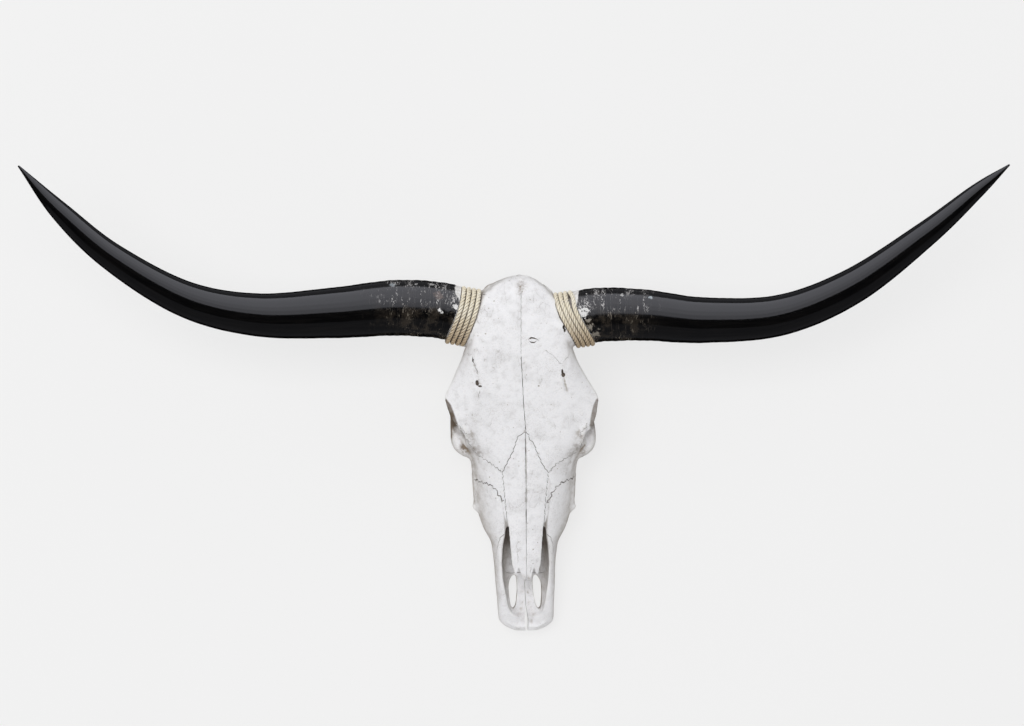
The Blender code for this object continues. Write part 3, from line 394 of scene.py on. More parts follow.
CAMERA_FOOT = (0.0039, 0.0552, 0.0)
CAMERA_DISTANCE, CAMERA_TILT = 5.0, math.radians(2.5)
LENS, SENSOR = 120.0, 36.0
SHARP_ANGLE = math.radians(42)
WORLD_LIGHT, KEY_LIGHT, WALL_LIGHT = 0.50, 5.6, 2.0
KEY_PLACE, KEY_TURN, KEY_SIZE = (-1.2, 0.8, 6.0), (-8, -11), (3.2, 3.2)
WALL_TINT, WALL_WIDTH = (0.90, 0.91, 1.0), 14
FLOOR_DROP, FLOOR_SIZE = 0.0003, 30  # the drop keeps the floor clear of the teeth
# Strips of the bright wall: (middle, tilt, height, share of its light).
WALL = (
    ((0, 4.0, 2.0), 0, 4.8, 1.0), ((0, 3.16, 5.0), 54.5, 2.06, 0.85),
    ((0, 1.33, 5.9), 73, 2.07, 0.66), ((0, 4.0, -2.4), 0, 4.0, 0.09),
    ((0, -4.0, 0.7), 180, 7.4, 0.06),
)


def along(line, station):
    """The value at a station of a smooth line through (station, value) points, with no overshoot."""
    x, y = np.array(line, float).T
    step, slope = np.diff(x), np.diff(y) / np.diff(x)
    tangent = np.zeros(len(x))
    inner = slope[:-1] * slope[1:] > 0
    weight_a, weight_b = 2 * step[1:] + step[:-1], step[1:] + 2 * step[:-1]
    mean = (weight_a + weight_b) / (
        weight_a / np.where(inner, slope[:-1], 1) + weight_b / np.where(inner, slope[1:], 1)
    )
    tangent[1:-1] = np.where(inner, mean, 0)
    tangent[0], tangent[-1] = slope[0], slope[-1]
    s = np.clip(station, x[0], x[-1])
    i = np.clip(np.searchsorted(x, s, side="right") - 1, 0, len(step) - 1)
    t = (s - x[i]) / step[i]
    return (
        y[i] * (1 + 2 * t) * (1 - t) ** 2
        + tangent[i] * step[i] * t * (1 - t) ** 2
        + y[i + 1] * t * t * (3 - 2 * t)
        - tangent[i + 1] * step[i] * t * t * (1 - t)
    )


def between(line, station):
    """The value at a station of straight stretches between (station, value) points."""
    x, y = np.array(line, float).T
    return np.interp(station, x, y)


def through(points, count, closed=False):
    """Points along a smooth curve through the given ones."""
    knots = np.array(points, float)
    if closed:
        knots = np.vstack((knots[-1], knots, knots[:2]))
    else:
        knots = np.vstack((2 * knots[0] - knots[1], knots, 2 * knots[-1] - knots[-2]))
    spans = len(knots) - 3
    place = np.linspace(0, spans, count, endpoint=not closed)
    i = np.minimum(place.astype(int), spans - 1)
    t = (place - i)[:, None]
    a, b, c, d = knots[i], knots[i + 1], knots[i + 2], knots[i + 3]
    return 0.5 * (2 * b + (c - a) * t + (2 * a - 5 * b + 4 * c - d) * t**2
                  + (3 * b - a - 3 * c + d) * t**3)


def squared(wave, power):
    """A sine or cosine that makes an oval squarer the lower the power is."""
    return np.sign(wave) * np.abs(wave) ** power


def unit(vectors):
    """Vectors made 1 long."""
    return vectors / np.linalg.norm(vectors, axis=-1, keepdims=True)


def wander(place):
    """Small turns to one side and the other, from -1 to 1, along a suture or a crack."""
    return 0.5 * np.sin(place / 1.25) + 0.3 * np.sin(place / 0.66 + 1.3) + 0.2 * np.sin(place / 0.43 + 4)


def grain(points, size, seed):
    """Smooth random numbers from -1 to 1 over space, in lumps about this size."""
    lattice = np.random.default_rng(seed).uniform(-1, 1, (32, 32, 32))
    place = points / size
    corner = np.floor(place).astype(int)
    t = place - corner
    t = t * t * (3 - 2 * t)
    total = np.zeros(len(points))
    for step in np.ndindex(2, 2, 2):
        weight = np.prod(np.where(step, t, 1 - t), axis=1)
        i, j, k = ((corner + step) % 32).T
        total += weight * lattice[i, j, k]
    return total


def new_object(name, mesh_data):
    obj = bpy.data.objects.new(name, mesh_data)
    bpy.context.scene.collection.objects.link(obj)
    return obj


def from_bmesh(name, bm):
    bmesh.ops.recalc_face_normals(bm, faces=bm.faces)
    data = bpy.data.meshes.new(name)
    bm.to_mesh(data)
    bm.free()
    return new_object(name, data)


def loft(name, rings):
    """A closed body over rings of points in millimetres, with a flat cap at each end."""
    bm = bmesh.new()
    rows = [[bm.verts.new(np.array(p) * MM) for p in ring] for ring in rings]
    for near, far in zip(rows, rows[1:]):
        for i in range(len(near)):
            j = (i + 1) % len(near)
            bm.faces.new((near[i], near[j], far[j], far[i]))
    bm.faces.new(rows[0])
    bm.faces.new(rows[-1][::-1])
    bmesh.ops.triangulate(bm, faces=[f for f in bm.faces if len(f.verts) > 4])
    return from_bmesh(name, bm)


def poll_drop(sideways, station):
    """How far the right side of the poll falls short of the left."""
    return POLL_DROP * max(0, sideways - DROP_FROM) * np.interp(station, DROP_STATIONS, (0, 1))


def skull_block():
    """The outside of the skull, but for the parts that stand out from it."""
    lines = ((SHOULDER_WIDTH, SHOULDER_HEIGHT), (BROW_WIDTH, BROW_HEIGHT), (CHEEK_WIDTH, CHEEK_HEIGHT),
             (JAW_WIDTH, JAW_HEIGHT), (GUM_WIDTH, GUM_HEIGHT))
    rings = []
    for s in np.concatenate((np.arange(0, 24, 2), np.arange(24, 490, 4), np.arange(490, 514, 1.5))):
        left = [(-along(w, s), s, along(h, s)) for w, h in reversed(lines)]
        right = [(-x, s - poll_drop(-x, s), z) for x, _, z in reversed(left)]
        ridge, palate = (0, s, along(RIDGE_HEIGHT, s)), (0, s, along(PALATE_HEIGHT, s))
        rings.append(through([ridge, *right, palate, *left], 120, closed=True))
    return loft("skull_block", rings)


def airway():
    """The space inside the nose, from its opening to the throat."""
    rings = []
    for s in range(16, 346, 4):
        floor, roof, half = along(AIRWAY_FLOOR, s), along(AIRWAY_ROOF, s), along(AIRWAY_WIDTH, s)
        middle, tall = (floor + roof) / 2, (roof - floor) / 2
        turn = np.linspace(0, 2 * math.pi, 64, endpoint=False)
        x = half * squared(np.cos(turn), 0.6)
        z = middle + tall * squared(np.sin(turn), 0.6)
        rings.append(np.column_stack((x, np.full(len(x), s), z)))
    return loft("airway", rings)


def swept(name, points, widths, heights):
    """A rounded bar along a smooth path: widths lie flat and square to it, heights stand up."""
    rows = through(np.column_stack((points, widths, heights)), BAR_RINGS)
    path, half_width, half_height = rows[:, :3], rows[:, 3], rows[:, 4]
    ahead = unit(np.gradient(path, axis=0))
    up = np.array((0.0, 0.0, 1.0)) if abs(ahead[:, 2]).max() < 0.9 else np.array((0.0, 1.0, 0.0))
    sideways = unit(np.cross(ahead, up))
    upright = np.cross(sideways, ahead)
    turn = np.linspace(0, 2 * math.pi, BAR_SIDES, endpoint=False)
    rings = [
        p + np.outer(np.cos(turn), w * a) + np.outer(np.sin(turn), h * b)
        for p, w, h, a, b in zip(path, half_width, half_height, sideways, upright)
    ]
    return loft(name, rings)


def knob(name, middle, size):
    """An ellipsoid."""
    bm = bmesh.new()
    bmesh.ops.create_uvsphere(bm, u_segments=24, v_segments=14, radius=1)
    for v in bm.verts:
        v.co = [(m + r * c) * MM for m, r, c in zip(middle, size, v.co)]
    return from_bmesh(name, bm)


def orbit_rim():
    """The raised ring round an eye socket, turned a little to the front and to the sky."""
    long_radius, tall_radius = ORBIT_RADII
    spin = np.linspace(0, 2 * math.pi, 20, endpoint=False)
    rings = []
    for turn in np.linspace(0, 2 * math.pi, 96, endpoint=False):
        out = np.array((0.0, math.cos(turn) * long_radius, math.sin(turn) * tall_radius))
        circle = np.outer(np.cos(spin), unit(out)) + np.outer(np.sin(spin), (1, 0, 0))
        ring = out + RIM_THICKNESS * circle
        x = ring[:, 0] * math.cos(ORBIT_ROLL) - ring[:, 2] * math.sin(ORBIT_ROLL)
        ring[:, 2] = ring[:, 2] * math.cos(ORBIT_ROLL) + ring[:, 0] * math.sin(ORBIT_ROLL)
        y = ring[:, 1].copy()
        ring[:, 0] = x * math.cos(ORBIT_TURN) + y * math.sin(ORBIT_TURN)
        ring[:, 1] = y * math.cos(ORBIT_TURN) - x * math.sin(ORBIT_TURN)
        rings.append(ring + ORBIT_MIDDLE)
    bm = bmesh.new()
    rows = [[bm.verts.new(p * MM) for p in ring] for ring in rings]
    for near, far in zip(rows, rows[1:] + rows[:1]):
        for i in range(len(near)):
            j = (i + 1) % len(near)
            bm.faces.new((near[i], near[j], far[j], far[i]))
    return from_bmesh("orbit_rim", bm)


def nasal_roof():
    """The front of the nasal bones, which reaches over the open nose."""
    rings = []
    for s in np.arange(NASAL_START, NASAL_END + 1, 3):
        half, top = along(NASAL_ROOF_WIDTH, s), along(RIDGE_HEIGHT, s)
        x = np.linspace(-half, half, 31)
        station, drop = np.full(len(x), s), NASAL_DROP * (np.abs(x) / half) ** 3
        upper = np.column_stack((x, station, top - drop))
        lower = np.column_stack((x * 0.9, station, top - drop * 0.9 - NASAL_THICKNESS))
        rings.append(np.vstack((upper, lower[::-1])))
    return loft("nasal_roof", rings)


def mirrored(obj):
    """A copy on the other side of the midline."""
    data = obj.data.copy()
    data.transform(((-1, 0, 0, 0), (0, 1, 0, 0), (0, 0, 1, 0), (0, 0, 0, 1)))
    data.flip_normals()
    return new_object(obj.name + "_mirrored", data)


def both_sides(shapes):
    return [*shapes, *[mirrored(s) for s in shapes]]


def settle(obj):
    """Turns an object's modifiers into its mesh."""
    graph = bpy.context.evaluated_depsgraph_get()
    data = bpy.data.meshes.new_from_object(obj.evaluated_get(graph))
    obj.modifiers.clear()
    old, obj.data = obj.data, data
    bpy.data.meshes.remove(old)
    return obj


def joined(name, shapes):
    """One object out of several, which stay apart inside it."""
    bm = bmesh.new()
    for shape in shapes:
        bm.from_mesh(shape.data)
    for shape in shapes:
        bpy.data.objects.remove(shape)
    data = bpy.data.meshes.new(name)
    bm.to_mesh(data)
    bm.free()
    return new_object(name, data)


def fused(name, shapes, voxel):
    """One body round shapes that overlap."""
    obj = joined(name, shapes)
    remesh = obj.modifiers.new("fuse", "REMESH")
    remesh.mode = "VOXEL"
    remesh.voxel_size = voxel * MM
    return settle(obj)


def smoothed(obj, factor, rounds):
    modifier = obj.modifiers.new("smooth", "SMOOTH")
    modifier.factor, modifier.iterations = factor, rounds
    return settle(obj)


def combined(obj, tool, operation):
    modifier = obj.modifiers.new(operation.lower(), "BOOLEAN")
    modifier.operation, modifier.solver, modifier.object = operation, "MANIFOLD", tool
    settle(obj)
    bpy.data.objects.remove(tool)
    return obj


def less(obj, tools):
    """An object with some shapes cut out of it."""
    for tool in tools:
        combined(obj, tool, "DIFFERENCE")
    return obj


def wrap_normal(side):
    """The way that the rope's turns face, outwards along the core."""
    turn = WRAP_TURN_LEFT if side < 0 else WRAP_TURN_RIGHT
    return np.array((side * math.cos(turn), math.sin(turn), 0.0))


def on_core(sideways, side):
    """The point of the core's middle line this far from the midline."""
    start, end = np.array(CORE_LEFT if side < 0 else CORE_RIGHT, float)
    point = start + (end - start) * (sideways - start[0]) / (end[0] - start[0])
    return point * (side, 1, 1)


def horn_core(side):
    """The core that a horn and its rope sit on, cut square to the wraps."""
    normal = wrap_normal(side)
    across = np.cross(normal, (0, 0, 1))
    turn = np.linspace(0, 2 * math.pi, 96, endpoint=False)
    circle = np.outer(np.cos(turn), across) + np.outer(np.sin(turn), (0, 0, 1))
    return loft("horn_core", [on_core(x, side) + CORE_RADIUS * circle for x in (CORE_START, CORE_END)])


def horn_neck(side):
    """The flared foot of a horn core, square to the wraps."""
    across = np.cross(wrap_normal(side), (0, 0, 1))
    turn = np.linspace(0, 2 * math.pi, 48, endpoint=False)
    circle = [np.outer(np.cos(turn), across), np.outer(np.sin(turn), (0, 0, 1))]
    rings = [on_core(x, side) - (0, NECK_FORWARD, 0) + width * circle[0] + height * circle[1]
             for x, width, height in through(CORE_NECK, 12)]
    return loft("horn_neck", rings)


def wrap_out(side, turn):
    """The way out of the core, square to the wraps, at an angle from its lowest point."""
    back = side * np.cross((0, 0, 1), wrap_normal(side))
    return math.sin(turn) * back - math.cos(turn) * np.array((0.0, 0.0, 1.0))


def wrap_sideways(turn, side):
    """How far from the midline the rope's winding has come at this angle."""
    start, pitch, bow = ((WRAP_START_LEFT, WRAP_PITCH_LEFT, WRAP_BOW_LEFT) if side < 0
                         else (WRAP_START_RIGHT, WRAP_PITCH_RIGHT, WRAP_BOW_RIGHT))
    bowed = bow * np.maximum(0, np.cos(turn - WRAP_BOW_ANGLE)) ** 2
    return start + pitch * (turn / (2 * math.pi) - 0.25) - bowed


def wrap_room(side):
    """The space round the core that the rope fills. Its inner face follows the rope's first turn."""
    turns = np.linspace(0, 2 * math.pi, 96, endpoint=False) - BEFORE_ROPE_END
    inward = ROPE_RADIUS + WRAP_ROOM_GAP
    rings = [[on_core(wrap_sideways(turn, side) - inward, side) + radius * wrap_out(side, turn)
              for turn in turns] for radius in (1, WRAP_ROOM)]
    rings.append([on_core(WRAP_ROOM_END, side) + WRAP_ROOM * wrap_out(side, turn) for turn in turns])
    return loft("wrap_room", rings)


def bone_block():
    """The bone without its thin parts, softened, with its hollows cut."""
    block = fused("bone", [
        skull_block(),
        *both_sides([
            swept("cheek_arch", CHEEK_ARCH, CHEEK_ARCH_WIDTH, CHEEK_ARCH_HEIGHT),
            swept("eye_bar", EYE_BAR, EYE_BAR_WIDTH, EYE_BAR_DEPTH),
            orbit_rim(),
            swept("snout_knob", SNOUT_KNOB, SNOUT_KNOB_WIDTH, SNOUT_KNOB_HEIGHT),
            knob("throat_knob", THROAT_KNOB, THROAT_KNOB_SIZE),
            swept("ear_bulb", EAR_BULB, EAR_BULB_WIDTH, EAR_BULB_HEIGHT),
            swept("condyle", CONDYLE, CONDYLE_WIDTH, CONDYLE_HEIGHT),
            swept("ear_tube", EAR_TUBE, EAR_TUBE_RADII, EAR_TUBE_RADII),
            swept("neck_process", NECK_PROCESS, NECK_PROCESS_WIDTH, NECK_PROCESS_DEPTH),
        ]),
        swept("cranial_base", CRANIAL_BASE, CRANIAL_BASE_RADII, CRANIAL_BASE_RADII),
        *[horn_neck(side) for side in (-1, 1)],
    ], BLOCK_VOXEL)
    smoothed(block, 0.5, 10)
    return less(block, [
        airway(),
        knob("spine_hole", SPINE_HOLE, SPINE_HOLE_SIZE),
        *both_sides([knob("socket", SOCKET, SOCKET_SIZE)]),
        *both_sides([loft("fissure", [[(x, s, z) for x, s in through(FISSURE, 48, closed=True)]
                                      for z in (0, 52)])]),
        *[wrap_room(side) for side in (-1, 1)],
    ])


def bone_body():
    """The whole bone as one body, hollows included."""
    added = both_sides([swept("throat_plate", THROAT_PLATE, THROAT_PLATE_WIDTH, THROAT_PLATE_HEIGHT)])
    cores = [horn_core(side) for side in (-1, 1)]
    bone = fused("bone", [bone_block(), nasal_roof(), *cores, *added], BONE_VOXEL)
    return smoothed(bone, 0.5, 4)


def points_of(obj):
    values = np.empty(len(obj.data.vertices) * 3)
    obj.data.vertices.foreach_get("co", values)
    return values.reshape(-1, 3) / MM


def normals_of(obj):
    values = np.empty(len(obj.data.vertices) * 3)
    obj.data.vertex_normals.foreach_get("vector", values)
    return values.reshape(-1, 3)


def move_points(obj, points):
    obj.data.vertices.foreach_set("co", (points * MM).ravel())
    obj.data.update()


def give(obj, name, values, domain="POINT"):
    """Stores one number for each point or face of a mesh, for its material."""
    data = obj.data
    layer = data.attributes.get(name) or data.attributes.new(name, "FLOAT", domain)
    layer.data.foreach_set("value", np.asarray(values, np.float32))


def tree_of(obj):
    return BVHTree.FromObject(obj, bpy.context.evaluated_depsgraph_get())


def on_bone(tree, point):
    """The place and normal of the bone below a (sideways, station) point, or nearest to a full one."""
    if len(point) == 2:
        hit = tree.ray_cast(Vector((point[0] * MM, point[1] * MM, 0.3)), Vector((0, 0, -1)))
    else:
        hit = tree.find_nearest(Vector(point) * MM)
    if hit[0] is None:
        return None
    return np.array(hit[0]) / MM, np.array(hit[1])


def away_from(points, line):
    """The distance of each point from a line of straight stretches."""
    best = np.full(len(points), 1e9)
    for a, b in zip(line, line[1:]):
        span = b - a
        t = np.clip((points - a) @ span / (span @ span), 0, 1)
        best = np.minimum(best, np.linalg.norm(points - a - t[:, None] * span, axis=1))
    return best


def with_mirrored(lines):
    """Lines given as (points, and so on), each followed by its mirror image."""
    pairs = []
    for points, *rest in lines:
        pairs += [(points, *rest), (tuple((-p[0], *p[1:]) for p in points), *rest)]
    return pairs


def dent(obj):
    """Presses the troughs and raises the ridges, and roughens the whole a little."""
    tree, points, normals = tree_of(obj), points_of(obj), normals_of(obj)
    shift = sum(height * grain(points, size, seed) for height, size, seed in UNEVEN)
    back = np.clip((points[:, 1] - BACK_FROM) / BACK_STATIONS, 0, 1)
    shift += back * sum(height * grain(points, size, seed) for height, size, seed in UNEVEN_BACK)
    for line, width, depth in (*TROUGHS, *MIDLINE_RIDGES, *with_mirrored(PAIRED_TROUGHS)):
        placed = [on_bone(tree, p) for p in line]
        path = through([p[0] for p in placed if p is not None], 16)
        away = away_from(points, path)
        shift -= depth * np.exp(-((away / width) ** 2) * 1.4)
    for x, s, radius in PITS:
        hit = on_bone(tree, (x, s))
        if hit is None:
            continue
        away = np.linalg.norm(points - hit[0], axis=1)
        shift -= 1.6 * radius * np.exp(-((away / (1.1 * radius)) ** 2))
    shift *= between(DENT_SHARE, points[:, 1])
    move_points(obj, points + normals * shift[:, None])


def relaxed(values, edges, rounds):
    """Values evened out along a mesh's edges."""
    count = len(values)
    ends = np.concatenate((edges[:, 0], edges[:, 1]))
    others = np.concatenate((edges[:, 1], edges[:, 0]))
    weight = np.maximum(np.bincount(ends, minlength=count), 1)
    for _ in range(rounds):
        for axis in range(values.shape[1]):
            near = np.bincount(ends, values[others, axis], minlength=count) / weight
            values[:, axis] = 0.5 * (values[:, axis] + near)
    return values


def in_socket(points):
    """How deep points lie in an eye socket, up to 1, for the shade painted there."""
    x, y, z = np.abs(points[:, 0]) - ORBIT_MIDDLE[0], *(points[:, 1:] - ORBIT_MIDDLE[1:]).T
    ahead = y * math.cos(ORBIT_TURN) + x * math.sin(ORBIT_TURN)
    level = x * math.cos(ORBIT_TURN) - y * math.sin(ORBIT_TURN)
    outward = level * math.cos(ORBIT_ROLL) + z * math.sin(ORBIT_ROLL)
    upward = z * math.cos(ORBIT_ROLL) - level * math.sin(ORBIT_ROLL)
    ring = np.hypot(ahead / ORBIT_RADII[0], upward / ORBIT_RADII[1])
    return np.clip((1.5 - outward) / 14, 0, 1) * np.clip((1.0 - ring) / 0.12, 0, 1)


def under_brow(points):
    """How far points lie in the strip between the brow's edge and the rim of the eye socket, which gets
    painted shade.
    """
    shade = np.zeros(len(points))
    for side, line, strength in ((-1, BROW_SHADE_LEFT, 1.25), (1, BROW_SHADE_RIGHT, 1.0)):
        past = side * points[:, 0] - between(line, points[:, 1])
        shade += strength * np.clip(past / 1.2, 0, 1) * between(BROW_SHADE_ENDS, points[:, 1])
    return shade * (points[:, 2] > 98)


def by_rope(points):
    """1 for the points of the bone below the ropes and in the wall beside their first turn, which get
    painted shadow.
    """
    covered = np.zeros(len(points))
    for side in (-1, 1):
        normal, start = wrap_normal(side), on_core(0, side)
        ahead = on_core(1, side) - start
        back, up = wrap_out(side, math.pi / 2), wrap_out(side, math.pi)
        sideways = ((points - start) @ normal) / (ahead @ normal)
        middle = points - start - sideways[:, None] * ahead
        turn = np.arctan2(middle @ back, -middle @ up) % (2 * math.pi)
        first = sideways - wrap_sideways(turn, side)
        beside = (first > -ROPE_RADIUS - 1.2) & (first < (WRAP_TURNS - 1) * WRAP_PITCH_RIGHT)
        covered[beside & (np.linalg.norm(middle, axis=1) < WRAP_RADIUS - 0.5)] = 1
    return covered


def hollows(obj, points, normals):
    """How hollow the bone is at each point, for the painted shade and dirt in hollows. Ridges are below 0.
    """
    edges = np.empty(len(obj.data.edges) * 2, np.int32)
    obj.data.edges.foreach_get("vertices", edges)
    hollow = np.zeros(len(points))
    for rounds, scale in ((8, 0.35), (50, 1.6)):
        soft = relaxed(points.copy(), edges.reshape(-1, 2), rounds)
        hollow += np.clip(np.sum((soft - points) * normals, axis=1) / scale, -1, 1.5)
    hollow *= between(HOLLOW_SHARE, points[:, 1])
    for side in (-1, 1):
        away = np.linalg.norm(points - (side * UNMARKED_HOLLOW_PLACE[0], *UNMARKED_HOLLOW_PLACE[1:]), axis=1)
        hollow *= 1 - np.exp(-((away / UNMARKED_HOLLOW_RADIUS) ** 2))
    return hollow


def in_nose(points, normals):
    """How much painted shade points get for lying in the nose. The outside of its roof gets none."""
    s = points[:, 1]
    floor, roof, half = along(AIRWAY_FLOOR, s), along(AIRWAY_ROOF, s), along(AIRWAY_WIDTH, s)
    depth = np.minimum(half + NOSE_BORDER - np.abs(points[:, 0]), points[:, 2] - floor + NOSE_BORDER)
    depth = np.minimum(depth, roof - points[:, 2] + NOSE_BORDER)
    inside = np.clip(depth / NOSE_BORDER, 0, 1) * between(NOSE_SHADE, s)
    inside *= 1 - 0.75 * np.clip(normals[:, 2], 0, 1) * (s < 95)
    outer_roof = (s > NASAL_START - 2) & (points[:, 2] > along(RIDGE_HEIGHT, s) - NASAL_THICKNESS - 1)
    inside[outer_roof & (normals[:, 2] > -0.2)] = 0
    return inside


def stained(obj, points):
    """How strongly each point is stained, the painted shade below the brow included."""
    tree = tree_of(obj)
    marks = np.zeros(len(points))
    for x, station, z, radius, strength in STAIN_AND_SHADE_SPOTS:
        place = on_bone(tree, (x, station) if z is None else (x, station, z))
        if place is None:
            continue
        marks += strength * np.exp(-((np.linalg.norm(points - place[0], axis=1) / radius) ** 2))
    return marks


def stain(obj):
    """Marks hollow places, the painted shade of the insides, and stains for the bone's material."""
    points, normals = points_of(obj), normals_of(obj)
    give(obj, "hollow", hollows(obj, points, normals))
    # The nose, the eye sockets, the bone under the ropes and the strip below the brow get painted shade.
    insides = (in_nose(points, normals), in_socket(points), by_rope(points), under_brow(points))
    give(obj, "inside", np.maximum.reduce(insides))
    give(obj, "stain", stained(obj, points))
    give(obj, "cut", np.zeros(len(obj.data.polygons)), "FACE")


def shade_sides(obj):
    """Marks how steep and how low the bone is, for the shade that its material paints on low, steep sides.
    """
    points, normals = points_of(obj), normals_of(obj)
    low = along(BROW_HEIGHT, points[:, 1]) - points[:, 2]
    steep = np.clip(1 - normals[:, 2], 0, 1)
    give(obj, "side", np.clip(np.clip(low / LOW_BELOW_BROW, 0, 1) * steep + 0.6 * steep**2, 0, 1))


def mark_cut(tool, strength=1.0):
    """Faces cut by a tool are as stained and hollow as this."""
    count = len(tool.data.vertices)
    give(tool, "stain", np.full(count, strength))
    give(tool, "hollow", np.full(count, strength))
    give(tool, "inside", np.zeros(count))
    give(tool, "cut", np.full(len(tool.data.polygons), strength), "FACE")
    return tool


def groove(tree, line, width, depth, swing):
    """A thin wedge along a line on the bone, to be cut out of it."""
    coarse = through(line, 60)
    length = np.linalg.norm(np.diff(coarse, axis=0), axis=1).sum()
    count = max(8, int(length / 0.8))
    path = through(line, count)
    place = np.linspace(0, length, count)
    ahead = unit(np.gradient(path, axis=0))
    if path.shape[1] == 2:
        path += np.column_stack((ahead[:, 1], -ahead[:, 0])) * (swing * wander(place))[:, None]
    hits = [on_bone(tree, p) for p in path]
    keep = [i for i, hit in enumerate(hits) if hit is not None]
    middle = np.array([hits[i][0] for i in keep])
    normal = unit(np.array([hits[i][1] for i in keep]))
    across = unit(np.cross(normal, unit(np.gradient(middle, axis=0))))
    if path.shape[1] == 3:
        middle += across * (swing * wander(place[keep]))[:, None]
    ease = np.clip(np.minimum(np.arange(len(keep)), np.arange(len(keep))[::-1]) / 6, 0.12, 1)
    rows = []
    for i in range(len(keep)):
        deep = depth * ease[i]
        half = width / 2 * ease[i] * (1 + 0.3 * math.sin(place[i] / 3.1)) * (GROOVE_LIFT + deep) / deep
        top = middle[i] + GROOVE_LIFT * normal[i]
        rows.append((top + half * across[i], top - half * across[i], middle[i] - deep * normal[i]))
    return mark_cut(loft("groove", rows))


def crack(obj):
    """Cuts the holes, the sutures and the cracks."""
    tree = tree_of(obj)
    holes = []
    for (x, s, z), size, side in HOLES:
        for way in ((-1, 1) if side == 0 else (side,)):
            holes.append(mark_cut(knob("hole", (way * x, s, z), size), 0.9))
    less(obj, holes)
    lines = (*SUTURES, *MIDLINE_SUTURES, *with_mirrored(PAIRED_SUTURES), *CRACKS)
    less(obj, [groove(tree, *line) for line in lines])


def box(name, low, high):
    corners = [(low[0], low[2]), (high[0], low[2]), (high[0], high[2]), (low[0], high[2])]
    return loft(name, [[(x, y, z) for x, z in corners] for y in (low[1], high[1])])


def nasal_edge(side, s):
    """How far from the midline a nasal bone reaches, with the small teeth of its suture."""
    width = between(NASAL_OUTLINE_LEFT if side < 0 else NASAL_OUTLINE_RIGHT, s)
    return max(width + 1.1 * wander(s * 0.9 + 3 * side) * (172 < s < 289), 0.3)


def nasal_gap(s):
    """Half the width of the open line between the nasal bones."""
    return between(NASAL_GAP, s) * (1 + 0.25 * math.sin(s / 2.3) + 0.2 * math.sin(s / 5.1))


def nasal_block(side, room=0.0):
    """The space of one nasal bone, or of both where side is 0, with room round it for the suture."""
    rings = []
    for s in np.append(np.arange(60, 290.6, 1.5), 291.0):
        top = along(RIDGE_HEIGHT, max(s, NASAL_START))
        low = top - along(NASAL_DEPTH, s) - room
        if side == 0:
            near, far = -nasal_edge(-1, s) - room, nasal_edge(1, s) + room
        else:
            gap = min(nasal_gap(s), nasal_edge(side, s) - 0.1)
            near, far = sorted((side * gap, side * nasal_edge(side, s)))
        rings.append([(x, s + room, z) for x, z in
                      ((near, low), (far, low), (far, top + 30), (near, top + 30))])
    return mark_cut(loft("nasal_space", rings), 0.9)


def snout_block(side, room=0.0):
    """The space in front of the suture that runs up the side of the snout."""
    near, far = (-70, 70) if side == 0 else sorted((side * 0.25, side * 70))
    rings = []
    for z in np.arange(-20, 181, 1.6):
        s = along([(height, station) for station, height in PREMAXILLA_SUTURE], z)
        s += 0.8 * wander(z) + room
        rings.append([(near, -30, z), (far, -30, z), (far, s, z), (near, s, z)])
    return mark_cut(loft("snout_space", rings), 0.8)


def nose_front(side):
    """The space in front of one nasal bone's ragged edge."""
    edge = through(NASAL_TIPS, 60)
    outline = [*[(x, s + 0.5 * wander(x * 2.1)) for x, s in edge], (26, 50), (-1, 50)]
    rings = [[(side * x, s, z) for x, s in outline] for z in (70, 140)]
    return mark_cut(loft("nose_front", rings), 0.15)


def tip_gap():
    """The gap between the two bones of the snout's tip."""
    rings = [[(-w, s, 0), (w, s, 0), (w, s, 80), (-w, s, 80)] for s, w in TIP_GAP]
    return mark_cut(loft("tip_gap", rings), 0.4)


def keep_main_body(obj):
    """Drops the crumbs that a cut can leave beside a bone."""
    count = len(obj.data.vertices)
    edges = np.empty(len(obj.data.edges) * 2, np.int32)
    obj.data.edges.foreach_get("vertices", edges)
    a, b = edges.reshape(-1, 2).T
    label = np.arange(count)
    while True:
        low = np.minimum(label[a], label[b])
        new = label.copy()
        np.minimum.at(new, a, low)
        np.minimum.at(new, b, low)
        new = new[new]
        if np.array_equal(new, label):
            break
        label = new
    main = np.bincount(label).argmax()
    if (label == main).all():
        return
    bm = bmesh.new()
    bm.from_mesh(obj.data)
    bm.verts.ensure_lookup_table()
    bmesh.ops.delete(bm, geom=[bm.verts[i] for i in np.flatnonzero(label != main)], context="VERTS")
    bm.to_mesh(obj.data)
    bm.free()


def copy_of(obj, name):
    return new_object(name, obj.data.copy())


def part_bones(bone):
    """The nasal and snout bones cut out of the whole, each by the block of space it fills."""
    pairs = []
    for name, block in (("nasal", nasal_block), ("premaxilla", snout_block)):
        pairs.append([
            combined(copy_of(bone, f"{name}_{word}_bone"), block(side), "INTERSECT")
            for word, side in SIDES
        ])
        less(bone, [block(0, NASAL_SUTURE)])
    return pairs


def lean(obj):
    """Moves a bone's points sideways, the more the nearer they are to the snout."""
    points = points_of(obj)
    points[:, 0] += along(LEAN, points[:, 1])
    move_points(obj, points)


def tooth_ring(middle, length, x, half, scale, lobes, twist):
    """The outline of a tooth at one height. Two lobes leave a waist with a rib in the middle."""
    turn = np.linspace(0, 2 * math.pi, 72, endpoint=False)
    across, ahead = squared(np.cos(turn), 0.55), squared(np.sin(turn), 0.55)
    wave = np.cos(ahead * math.pi * lobes + twist)
    waist = 1 - 0.19 * (wave if lobes > 1 else 0.4 * wave) * (np.abs(across) > 0.55)
    ribs = 0.16 * np.exp(-((ahead / 0.13) ** 2)) + 0.10 * np.exp(-(((np.abs(ahead) - 0.86) / 0.12) ** 2))
    rib = 1 + ribs * (across > 0)
    return np.column_stack((
        x + scale * half * across * waist * rib,
        middle + scale * (length / 2 + 0.2) * ahead,
    ))


